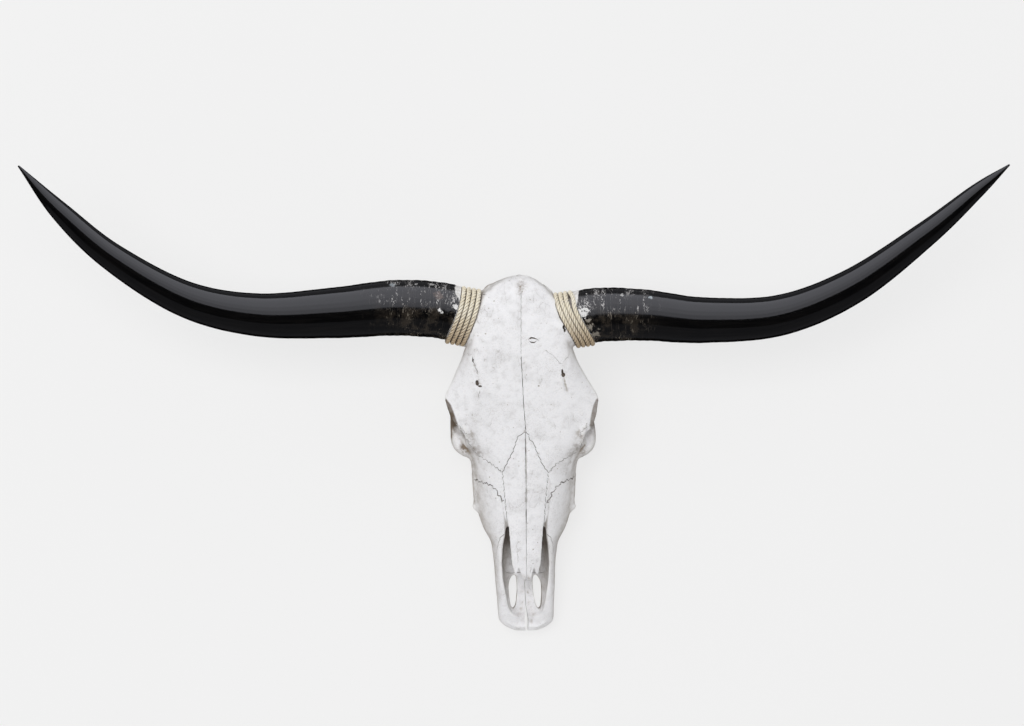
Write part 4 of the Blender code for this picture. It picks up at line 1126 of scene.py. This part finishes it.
def tooth(start, length, number):
    """A cheek tooth with a worn, hollowed chewing face."""
    middle = start + length / 2
    x, half = along(TOOTH_ROW, middle), along(TOOTH_HALF_WIDTH, middle)
    lobes = 2 if number >= LOBED_FROM else 1
    rings = []
    for twist, table in ((0, TOOTH_HOLLOW), (TOOTH_TWIST, TOOTH_OUTSIDE)):
        for height, scale in table:
            turned = twist * height / TOOTH_TOP
            outline = tooth_ring(middle, length, x, half, scale, lobes, turned)
            rings.append(np.column_stack((outline, np.full(len(outline), float(height)))))
    return loft("tooth", rings)


def teeth(name, side):
    """One row of cheek teeth, smallest in front."""
    row = []
    start = TOOTH_START
    for number, length in enumerate(TOOTH_LENGTHS):
        shape = tooth(start, length, number)
        row.append(shape if side > 0 else mirrored(shape))
        if side < 0:
            bpy.data.objects.remove(shape)
        start += length
    obj = joined(name, row)
    lean(obj)
    return obj


def horn_rows(side):
    """Fine rows of the horn's path, radius, frame and length so far."""
    given = np.array(HORN_LEFT if side < 0 else HORN_RIGHT, float)
    given = np.vstack((2 * given[0] - given[1], given)) * (side, 1, 1, 1)
    rows = through(given, 1300)
    path, radii = rows[:, :3], rows[:, 3]
    ahead = unit(np.gradient(path, axis=0))
    back = unit(np.cross((0, 0, 1), ahead)) * side
    upright = unit(np.cross(ahead, back)) * side
    return path, radii, back, upright, lengths_along(path)


def horn_edge(side, angle):
    """How far from the midline a horn begins at this angle, snug to the rope's last turn."""
    last_turn = math.radians((WRAP_TURNS - 0.5) * 360 - angle)
    snug = wrap_sideways(last_turn, side) + ROPE_RADIUS + SNUG
    return min(max(snug, between(LEAST_EDGE, angle)), HORN_BASE + CLEARANCE)


def chalky_reach(side, angle):
    """How far from its edge a horn is chalky at this angle, with a ragged border."""
    reach = between(CHALKY_LEFT if side < 0 else CHALKY_RIGHT, angle)
    return reach + (0.9 * wander(angle / 5) + 0.5) * min(1, reach / 2)


def growth(far, sine):
    """The height of the growth rings, which fade along the horn."""
    fade = np.exp(-far / 150)
    return 0.22 * np.sin(far / 1.9 + 0.6 * sine) * fade + 0.3 * np.sin(far / 6.3 + 1.1) * fade


def at_rows(rows, values):
    """Values at places between the given rows."""
    places = np.arange(len(values))
    return np.column_stack([np.interp(rows, places, column) for column in values.T])


def give_lay(obj, values):
    """Stores where each point lies along and round its horn or strand, given in millimetres."""
    layer = obj.data.attributes.new("lay", "FLOAT_VECTOR", "POINT")
    layer.data.foreach_set("vector", (np.array(values) * MM).astype(np.float32).ravel())


def horn(name, side):
    """A hollow-ended horn with a chalky open edge and faint growth rings near its base."""
    path, radii, back, upright, length = horn_rows(side)
    normal = wrap_normal(side)
    start = length[np.argmax((path - on_core(HORN_BASE, side)) @ normal > 0)]
    steps = np.linspace(0, 1, HORN_RINGS)
    outer, lay, rim, bare = [], [], [], []
    for turn in np.linspace(0, 360, HORN_SIDES, endpoint=False):
        angle = (turn + 180) % 360 - 180
        sine, cosine = math.sin(math.radians(angle)), math.cos(math.radians(angle))
        out = upright * cosine + back * sine
        skin = path + radii[:, None] * out
        past = (skin - on_core(horn_edge(side, angle), side)) @ normal - 0.15 * wander(angle / 9)
        first = np.argmax(past > 0)
        begin = first - past[first] / (past[first] - past[first - 1])
        rows = begin + (len(path) - 1 - begin) * steps
        middle, away = at_rows(rows, path), at_rows(rows, out)
        far, radius = at_rows(rows, np.column_stack((length, radii))).T
        far = far - start
        outer.append(at_rows(rows, skin) + away * growth(far, sine)[:, None])
        lay.append(np.column_stack((far, radius * cosine, radius * sine)))
        rim.append((middle[0], away[0], radius[0]))
        chalky = chalky_reach(side, angle)
        bare.append(np.clip((chalky - far + far[0]) / 0.9 + 0.5, 0, 1) if chalky > 0.3 else 0 * far)
    inner = [[p + (r - thick) * o + np.array(normal) * deep for p, o, r in rim]
             for deep, thick in RIM_RINGS]
    obj = loft(name, [*inner, *np.array(outer).swapaxes(0, 1)])
    lay, bare = np.array(lay).swapaxes(0, 1), np.array(bare).T
    give_lay(obj, np.concatenate([lay[0]] * len(inner) + list(lay)))
    give(obj, "bare", np.concatenate((np.tile(bare[0], len(inner)), bare.ravel())))
    return obj


def wrap_path(side, turn):
    """A point of the rope's middle line, and the way out of it, at an angle from the lowest point."""
    place, reach, far = SLIP_LEFT if side < 0 else SLIP_RIGHT
    slip = far * math.exp(-(((turn / (2 * math.pi) - place) / reach) ** 2))
    out = wrap_out(side, turn)
    uneven = 0.12 * math.sin(turn * 2.3 + side) + 0.1 * math.sin(turn * 5.7)
    return on_core(wrap_sideways(turn, side) + slip + uneven, side) + WRAP_RADIUS * out, out


def strand(path, out, other, phase, spin):
    """The middle line of a strand that winds round the rope's path, and the rings round it."""
    offset, radius = STRAND_OFFSET * ROPE_RADIUS, STRAND_RADIUS * ROPE_RADIUS
    middle = path + offset * (np.cos(phase)[:, None] * out + np.sin(phase)[:, None] * other)
    forward = unit(np.gradient(middle, axis=0))
    away = unit(middle - path)
    away = unit(away - np.sum(away * forward, axis=1)[:, None] * forward)
    aside = np.cross(forward, away)
    rings = [m + radius * (np.outer(np.cos(spin), a) + np.outer(np.sin(spin), b))
             for m, a, b in zip(middle, away, aside)]
    return middle, np.array(rings)


def lengths_along(path):
    """The distance of each point of a path from its start."""
    return np.concatenate(((0,), np.cumsum(np.linalg.norm(np.diff(path, axis=0), axis=1))))


def rope(name, side):
    """A rope of three strands wound round the core in touching turns."""
    turns = np.linspace(0, 2 * math.pi * WRAP_TURNS, ROPE_RINGS)
    path, out = np.array([wrap_path(side, turn) for turn in turns]).swapaxes(0, 1)
    ahead = unit(np.gradient(path, axis=0))
    out = unit(out - np.sum(out * ahead, axis=1)[:, None] * ahead)
    other = np.cross(ahead, out)
    spin = np.linspace(0, 2 * math.pi, STRAND_SIDES, endpoint=False)
    radius = STRAND_RADIUS * ROPE_RADIUS
    strands, lay, crown, front, beside = [], [], [], [], []
    for number in range(STRANDS):
        phase = 2 * math.pi * (lengths_along(path) / ROPE_LAY + number / STRANDS)
        middle, rings = strand(path, out, other, phase, spin)
        strands.append(loft("strand", rings))
        from_path = rings - path[:, None]
        # crown and beside tell how deep a point lies between the strands and the turns, and front how far
        # it faces the snout, for the rope's painted shade.
        crown.extend((np.linalg.norm(from_path, axis=2) / ROPE_RADIUS).ravel())
        beside.extend((np.abs(np.sum(from_path * other[:, None], axis=2)) / ROPE_RADIUS).ravel())
        front.extend(np.repeat(-out[:, 1], STRAND_SIDES))
        for far in lengths_along(middle):
            lay.extend((far + 400 * number, radius * math.cos(a), radius * math.sin(a)) for a in spin)
    obj = joined(name, strands)
    for mark, values in (("crown", crown), ("front", front), ("beside", beside)):
        give(obj, mark, values)
    give_lay(obj, lay)
    return obj


class Graph:
    """A short way to write a material's nodes."""

    def __init__(self, name):
        self.material = bpy.data.materials.new(name)
        self.material.use_nodes = True
        self.tree = self.material.node_tree
        self.shader = self.tree.nodes["Principled BSDF"]

    def node(self, kind, inputs=(), **settings):
        made = self.tree.nodes.new(kind)
        for key, value in settings.items():
            setattr(made, key, value)
        for key, value in dict(inputs).items():
            self.put(made.inputs[key], value)
        return made

    def put(self, socket, value):
        if isinstance(value, bpy.types.NodeSocket):
            self.tree.links.new(value, socket)
        else:
            socket.default_value = value

    def attribute(self, name, output="Fac"):
        return self.node("ShaderNodeAttribute", attribute_name=name).outputs[output]

    def place(self, source, scale):
        return self.node("ShaderNodeMapping", {"Vector": source, "Scale": scale}).outputs["Vector"]

    def noise(self, source, scale, detail=4.0, roughness=0.55):
        return self.node("ShaderNodeTexNoise", {
            "Vector": source, "Scale": scale, "Detail": detail, "Roughness": roughness,
        }).outputs["Fac"]

    def edges(self, source, scale):
        """The distance from the edges between random cells."""
        return self.node("ShaderNodeTexVoronoi", {"Vector": source, "Scale": scale},
                         feature="DISTANCE_TO_EDGE").outputs["Distance"]

    def warp(self, source):
        """Small shifts that make straight lines wander."""
        noise = self.node("ShaderNodeTexNoise", {"Vector": source, "Scale": 120, "Detail": 3})
        return self.node("ShaderNodeVectorMath", {0: noise.outputs["Color"], 1: (0.006, 0.006, 0.006)},
                         operation="MULTIPLY").outputs["Vector"]

    def span(self, value, low, high, first=0.0, last=1.0):
        """A value between low and high turned into one between first and last, with soft ends."""
        return self.node("ShaderNodeMapRange", {
            "Value": value, "From Min": low, "From Max": high, "To Min": first, "To Max": last,
        }, interpolation_type="SMOOTHSTEP").outputs["Result"]

    def maths(self, kind, a, b, clamp=False):
        made = self.node("ShaderNodeMath", operation=kind, use_clamp=clamp)
        self.put(made.inputs[0], a)
        self.put(made.inputs[1], b)
        return made.outputs[0]

    def times(self, a, b):
        return self.maths("MULTIPLY", a, b)

    def plus(self, a, b):
        return self.maths("ADD", a, b)

    def most(self, first, *others):
        """The largest of some values."""
        for value in others:
            first = self.maths("MAXIMUM", first, value)
        return first

    def weighed(self, *parts):
        """The sum of values, given as (value, weight)."""
        first, *others = [self.times(value, weight) for value, weight in parts]
        for value in others:
            first = self.plus(first, value)
        return first

    def mix(self, share, a, b):
        made = self.node("ShaderNodeMix", data_type="RGBA")
        self.put(made.inputs["Factor"], share)
        self.put(made.inputs["A"], a)
        self.put(made.inputs["B"], b)
        return made.outputs["Result"]

    def coated(self, colour, *coats):
        """A colour with others laid over it, given as (share, colour)."""
        for share, coat in coats:
            colour = self.mix(share, colour, coat)
        return colour

    def bump(self, height, strength, distance):
        inputs = {"Height": height, "Strength": strength, "Distance": distance * MM}
        return self.node("ShaderNodeBump", inputs).outputs["Normal"]

    def finish(self, colour, roughness, normal):
        self.put(self.shader.inputs["Base Color"], colour)
        self.put(self.shader.inputs["Roughness"], roughness)
        self.put(self.shader.inputs["Normal"], normal)
        return self.material


def rgb(red, green, blue):
    """A colour from the 0 to 255 numbers of a screen."""
    return (*[((c / 255 + 0.055) / 1.055) ** 2.4 for c in (red, green, blue)], 1.0)


def bone_dots(g, place):
    """Small dark holes here and there."""
    dots = g.node("ShaderNodeTexVoronoi", {"Vector": place, "Scale": 135}).outputs
    red = g.node("ShaderNodeSeparateColor", {"Color": dots["Color"]}).outputs["Red"]
    return g.times(g.span(dots["Distance"], 0.07, 0.15, 1, 0), g.span(red, 0.80, 0.84))


def bone_cracks(g, place, clouds):
    """Hairlines that run mostly along the skull."""
    stretched = g.node("ShaderNodeVectorMath", {0: g.place(place, (1.0, 0.32, 1.0)), 1: g.warp(place)},
                       operation="ADD").outputs["Vector"]
    return g.times(g.span(g.edges(stretched, 88), 0.0, 0.022, 1, 0), g.span(clouds, 0.53, 0.62))


def bone_pores(g, place):
    """Patches of fine open pores."""
    pores = g.node("ShaderNodeTexVoronoi", {"Vector": place, "Scale": 620}).outputs["Distance"]
    return g.times(g.span(pores, 0.12, 0.34, 1, 0), g.span(g.noise(place, 34, 4), 0.48, 0.62))


def bone_material():
    """Bleached bone: mottled and specked, brown where it is stained, with painted shade and brown dirt in
    hollows, and painted shade low on its sides, in the nose, the eye sockets, under the ropes and below
    the brow.
    """
    g = Graph("bone")
    place, hollow = g.node("ShaderNodeTexCoord").outputs["Object"], g.attribute("hollow")
    fine, mottle = g.noise(place, 520, 5, 0.7), g.noise(place, 105, 6, 0.68)
    clouds, speckle = g.noise(place, 26, 4, 0.6), g.noise(place, 190, 4, 0.7)
    # side: painted shade on the low, steep sides of the bone.
    side = g.times(g.attribute("side"), g.span(mottle, 0.3, 0.65, 0.55, 1.0))
    # The stain attribute holds real stains, the dark walls of cuts and the painted shade below the brow.
    stain_and_brow_shade = g.times(g.attribute("stain"), g.span(speckle, 0.3, 0.62, 0.45, 1.25))
    # Hollows get painted shade with brown dirt in it; ridges, where hollow is below 0, are made lighter.
    hollow_dirt_and_shade = g.plus(hollow, g.span(mottle, 0.35, 0.65, -0.35, 0.35))
    # inside: painted shade in the nose, the eye sockets, under the ropes and below the brow.
    deep = g.times(g.attribute("inside"), g.span(mottle, 0.3, 0.7, 0.75, 1.0))
    dot, crack, porous = bone_dots(g, place), bone_cracks(g, place, clouds), bone_pores(g, place)
    colour = g.coated(
        g.mix(g.span(fine, 0.3, 0.7), rgb(238, 238, 241), rgb(248, 247, 248)),
        (g.span(mottle, 0.47, 0.70, 0, 0.26), rgb(204, 202, 202)),
        (g.span(clouds, 0.44, 0.70, 0, 0.30), rgb(208, 207, 208)),
        (g.span(speckle, 0.58, 0.69, 0, 0.17), rgb(172, 161, 150)),
        (g.times(side, 0.85), rgb(170, 160, 147)),
        (g.span(g.times(hollow, -1.0), 0.2, 1.2, 0, 0.5), rgb(248, 247, 246)),
        (g.span(stain_and_brow_shade, 0.05, 1.0, 0, 0.92), rgb(118, 101, 84)),
        (g.span(hollow_dirt_and_shade, 0.15, 1.6, 0, 0.72), rgb(143, 128, 108)),
        (g.times(deep, 0.86), rgb(104, 90, 76)),
        (g.times(dot, 0.5), rgb(128, 110, 92)),
        (g.times(crack, 0.34), rgb(132, 120, 106)),
        (g.times(g.attribute("cut"), 0.75), rgb(112, 103, 94)),
        (g.times(porous, 0.40), rgb(140, 128, 114)),
    )
    streaks = g.noise(g.place(place, (1.0, 0.12, 1.0)), 300, 4, 0.6)
    relief = g.weighed((fine, 0.6), (streaks, 0.6), (mottle, 0.9),
                       (porous, -0.8), (crack, -0.8), (dot, -1.2))
    return g.finish(colour, g.span(speckle, 0.3, 0.7, 0.66, 0.54), g.bump(relief, 0.75, 0.42))


def tooth_material():
    """Ivory enamel with brown streaks and a dark chewing edge."""
    g = Graph("teeth")
    place = g.node("ShaderNodeTexCoord").outputs["Object"]
    height = g.node("ShaderNodeSeparateXYZ", {"Vector": place}).outputs["Z"]
    streaks = g.noise(g.place(place, (1.0, 1.0, 0.14)), 300, 4, 0.6)
    blotches = g.noise(place, 70, 4, 0.6)
    colour = g.coated(
        g.mix(g.span(blotches, 0.35, 0.65), rgb(242, 236, 222), rgb(222, 210, 186)),
        (g.span(streaks, 0.54, 0.74, 0, 0.5), rgb(150, 122, 88)),
        (g.span(height, 0.0002, 0.0018, 0.6, 0), rgb(96, 74, 52)),
    )
    return g.finish(colour, g.span(blotches, 0.3, 0.7, 0.28, 0.5), g.bump(streaks, 0.4, 0.5))


def horn_flecks(g, lay):
    """Short pale flecks that stand in columns round a horn."""
    columns = g.span(g.noise(g.place(lay, (1.0, 0.16, 0.16)), 150, 3, 0.6), 0.53, 0.59)
    dashes = g.span(g.noise(g.place(lay, (1.0, 0.5, 0.5)), 700, 4, 0.6), 0.53, 0.60)
    return g.times(columns, dashes)


def horn_lines(g, lay):
    """Thin growth lines that run round a horn."""
    rings = g.noise(g.place(lay, (1.0, 0.02, 0.02)), 230, 3, 0.5)
    return g.span(g.maths("ABSOLUTE", g.maths("SUBTRACT", rings, 0.5), 0.0), 0.0, 0.012, 1, 0)


def patched(g, colour, patches, edge, small):
    """A colour with ragged patches over it, and the list of how strongly each one covers it."""
    place = g.node("ShaderNodeTexCoord").outputs["Object"]
    covers = []
    for middle, radius, tint, strength in patches:
        away = g.node("ShaderNodeVectorMath", {0: place, 1: middle}, operation="DISTANCE")
        border = g.span(edge, 0.25, 0.75, -0.65 * radius, 0.65 * radius)
        ragged = g.plus(away.outputs["Value"], border)
        full = g.span(ragged, 0.7 * radius, radius, strength, 0)
        covers.append(g.times(full, g.span(small, 0.30, 0.48, 0.55, 1)))
        colour = g.mix(covers[-1], colour, rgb(*tint))
    return colour, covers


def horn_material(name, reach, patches):
    """Polished horn: streaks run along it, scuffs and growth lines run round it near its base."""
    g = Graph(name)
    lay = g.attribute("lay", "Vector")
    place = g.node("ShaderNodeSeparateXYZ", {"Vector": lay}).outputs
    near, base = g.span(place["X"], 0.4 * reach, reach, 1, 0), g.span(place["X"], 0.03, 0.17, 1, 0)
    poll_side = g.span(place["Z"], -0.002, 0.010)
    blotches, small = g.noise(lay, 55, 5, 0.65), g.noise(lay, 240, 5, 0.65)
    lengthwise = g.noise(g.place(lay, (0.05, 1.0, 1.0)), 300, 5, 0.6)
    hairs = g.noise(g.place(lay, (1.0, 0.20, 0.20)), 620, 4, 0.6)
    clumps = g.times(g.span(g.noise(g.place(lay, (1.0, 0.7, 0.7)), 62, 3, 0.6), 0.50, 0.60), near)
    flecks = g.times(horn_flecks(g, lay), g.times(g.span(base, 0.45, 0.8), poll_side))
    pale = g.most(
        g.times(flecks, 0.8),
        g.times(g.times(g.span(hairs, 0.56, 0.64), clumps), 0.75),
        g.times(g.times(g.span(small, 0.55, 0.66), clumps), 0.28),
        g.times(g.times(horn_lines(g, lay), near), 0.12),
    )
    brown = g.times(g.span(blotches, 0.46, 0.62), g.times(near, g.span(poll_side, 0, 1, 0.8, 0.2)))
    colour = g.coated(
        g.mix(g.span(lengthwise, 0.35, 0.7), rgb(7, 7, 8), rgb(15, 14, 14)),
        (brown, rgb(50, 44, 37)),
        (pale, g.mix(poll_side, rgb(124, 115, 102), rgb(204, 201, 200))),
    )
    edge = g.noise(g.node("ShaderNodeTexCoord").outputs["Object"], 230, 5, 0.7)
    colour, covers = patched(g, colour, patches, edge, small)
    bare = g.attribute("bare")
    colour = g.mix(bare, colour, g.mix(g.span(edge, 0.4, 0.6), rgb(240, 239, 238), rgb(214, 211, 207)))
    chalk = g.most(pale, *covers, bare)
    gloss = g.plus(g.span(blotches, 0.3, 0.7, 0.05, 0.13), g.times(base, 0.10))
    roughness = g.maths("ADD", gloss, g.times(chalk, 0.5), clamp=True)
    lumps = g.noise(lay, 90, 2, 0.4)
    relief = g.weighed((hairs, g.span(near, 0, 1, 0.08, 0.6)), (chalk, 0.9), (lumps, 0.6))
    return g.finish(colour, roughness, g.bump(relief, 0.2, 0.35))


def rope_material():
    """Laid cord, with brown painted shade on the side of the snout and in the grooves between its strands
    and turns.
    """
    g = Graph("rope")
    lay, front = g.attribute("lay", "Vector"), g.attribute("front")
    tone = g.noise(g.node("ShaderNodeTexCoord").outputs["Object"], 45, 3, 0.5)
    fibres = g.noise(g.place(lay, (0.10, 1.0, 1.0)), 1500, 4, 0.6)
    flecks = g.noise(g.place(lay, (0.25, 1.0, 1.0)), 520, 3, 0.6)
    # dark: how strong the painted shade in the grooves is, most on the snout side.
    dark = g.span(front, -0.8, 0.6, 0.45, 1.0)
    colour = g.coated(
        g.mix(g.span(tone, 0.35, 0.65), rgb(253, 248, 232), rgb(246, 238, 216)),
        (g.span(fibres, 0.38, 0.68, 0.26, 0), rgb(196, 174, 138)),
        (g.span(flecks, 0.56, 0.72, 0, 0.6), rgb(255, 252, 242)),
        # Painted shade on the snout side, then in the grooves between strands (crown) and between turns
        # (beside).
        (g.span(front, -0.4, 1.0, 0, 0.75), rgb(154, 126, 88)),
        (g.times(dark, g.span(g.attribute("crown"), 0.56, 0.90, 0.85, 0)), rgb(106, 82, 50)),
        (g.times(dark, g.span(g.attribute("beside"), 0.62, 0.98, 0, 0.85)), rgb(84, 62, 36)),
    )
    g.shader.inputs["Sheen Weight"].default_value = 0.1
    g.shader.inputs["Specular IOR Level"].default_value = 0.3
    return g.finish(colour, g.span(fibres, 0.3, 0.7, 0.95, 0.8), g.bump(fibres, 0.6, 0.4))


def floor_material():
    g = Graph("pale_floor")
    place = g.node("ShaderNodeTexCoord").outputs["Object"]
    colour = g.mix(g.noise(place, 3, 3), rgb(124, 124, 124), rgb(127, 127, 127))
    g.shader.inputs["Emission Color"].default_value = (1, 1, 1, 1)
    g.shader.inputs["Emission Strength"].default_value = 0.69
    g.shader.inputs["Specular IOR Level"].default_value = 0
    return g.finish(colour, 1.0, g.bump(g.noise(place, 800, 3), 0.02, 0.2))


def dress(obj, material, slot, *nodes):
    """Gives a finished piece its material, its place in the row frame and what it stands for."""
    obj.data.materials.clear()
    obj.data.materials.append(material)
    obj.data.shade_smooth()
    obj.data.set_sharp_from_angle(angle=SHARP_ANGLE)
    points = points_of(obj)
    move_points(obj, points - np.array((SPAN_MIDDLE, LENGTH_MIDDLE, 0)))
    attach(obj, "root")
    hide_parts(*nodes)


def bones():
    bone = bone_body()
    dent(bone)
    stain(bone)
    crack(bone)
    bone.name = "cranium_bone"
    less(bone, [mark_cut(box("below_the_floor", (-200, -50, -20), (200, 520, 0)), 0.2)])
    nasals, snout = part_bones(bone)
    for nasal, front, side in zip(nasals, snout, (-1, 1)):
        less(nasal, [nose_front(side)])
        less(front, [tip_gap()])
    material = bone_material()
    nodes = ("cranium", "nasal_left", "nasal_right", "premaxilla_left", "premaxilla_right")
    for piece, node in zip((bone, *nasals, *snout), nodes):
        keep_main_body(piece)
        shade_sides(piece)
        lean(piece)
        dress(piece, material, "bone", node)
    enamel = tooth_material()
    for word, side in SIDES:
        dress(teeth(f"cheek_teeth_{word}", side), enamel, "bone", "cranium")


def horns_and_ropes():
    for word, side in SIDES:
        reach, patches = (MARKED_LEFT, PATCHES_LEFT) if side < 0 else (MARKED_RIGHT, PATCHES_RIGHT)
        material = horn_material(f"horn_{word}", reach, patches)
        dress(horn(f"horn_{word}_sheath", side), material, "horn", f"horn_{word}")
    cord = rope_material()
    for word, side in SIDES:
        dress(rope(f"rope_{word}_strands", side), cord, "rope", f"rope_{word}")


def floor():
    bm = bmesh.new()
    bmesh.ops.create_grid(bm, x_segments=8, y_segments=8, size=FLOOR_SIZE)
    obj = from_bmesh("floor", bm)
    obj.location.z = -FLOOR_DROP
    obj.data.materials.append(floor_material())
    obj.visible_glossy = False


def camera():
    data = bpy.data.cameras.new("camera")
    data.lens, data.sensor_width = LENS, SENSOR
    obj = bpy.data.objects.new("camera", data)
    foot = Vector(CAMERA_FOOT)
    back = Vector((-math.sin(CAMERA_TILT), 0, math.cos(CAMERA_TILT)))
    obj.location = foot + CAMERA_DISTANCE * back
    obj.rotation_euler = (0, -CAMERA_TILT, 0)
    bpy.context.scene.collection.objects.link(obj)
    bpy.context.scene.camera = obj


def softbox(name, place, turn, size, radiance, tint=(1, 1, 1)):
    """A light panel that shines along its own -Z, turned from face down about X and then Y."""
    data = bpy.data.lights.new(name, "AREA")
    data.shape, data.size, data.size_y = "RECTANGLE", *size
    data.energy, data.color = radiance * math.pi * size[0] * size[1], tint
    obj = bpy.data.objects.new(name, data)
    obj.location, obj.rotation_euler = place, [math.radians(angle) for angle in (*turn, 0)]
    obj.visible_camera = False
    bpy.context.scene.collection.objects.link(obj)
    return obj


def studio():
    """Soft light from the camera's side, and a tall wall beyond the poll that only shows in gloss."""
    world = bpy.data.worlds.new("studio")
    world.use_nodes = True
    background = world.node_tree.nodes["Background"].inputs
    background["Color"].default_value = (1, 1, 1, 1)
    background["Strength"].default_value = WORLD_LIGHT
    world.cycles_visibility.glossy = False
    bpy.context.scene.world = world
    key = softbox("key", KEY_PLACE, KEY_TURN, KEY_SIZE, KEY_LIGHT)
    key.visible_glossy = False
    for place, tilt, height, share in WALL:
        size = (WALL_WIDTH, height)
        wall = softbox("wall", place, (-90 + tilt, 0), size, WALL_LIGHT * share, WALL_TINT)
        wall.visible_diffuse = False
    bpy.context.scene.view_settings.view_transform = "Standard"


bones()
horns_and_ropes()
floor()
studio()
camera()
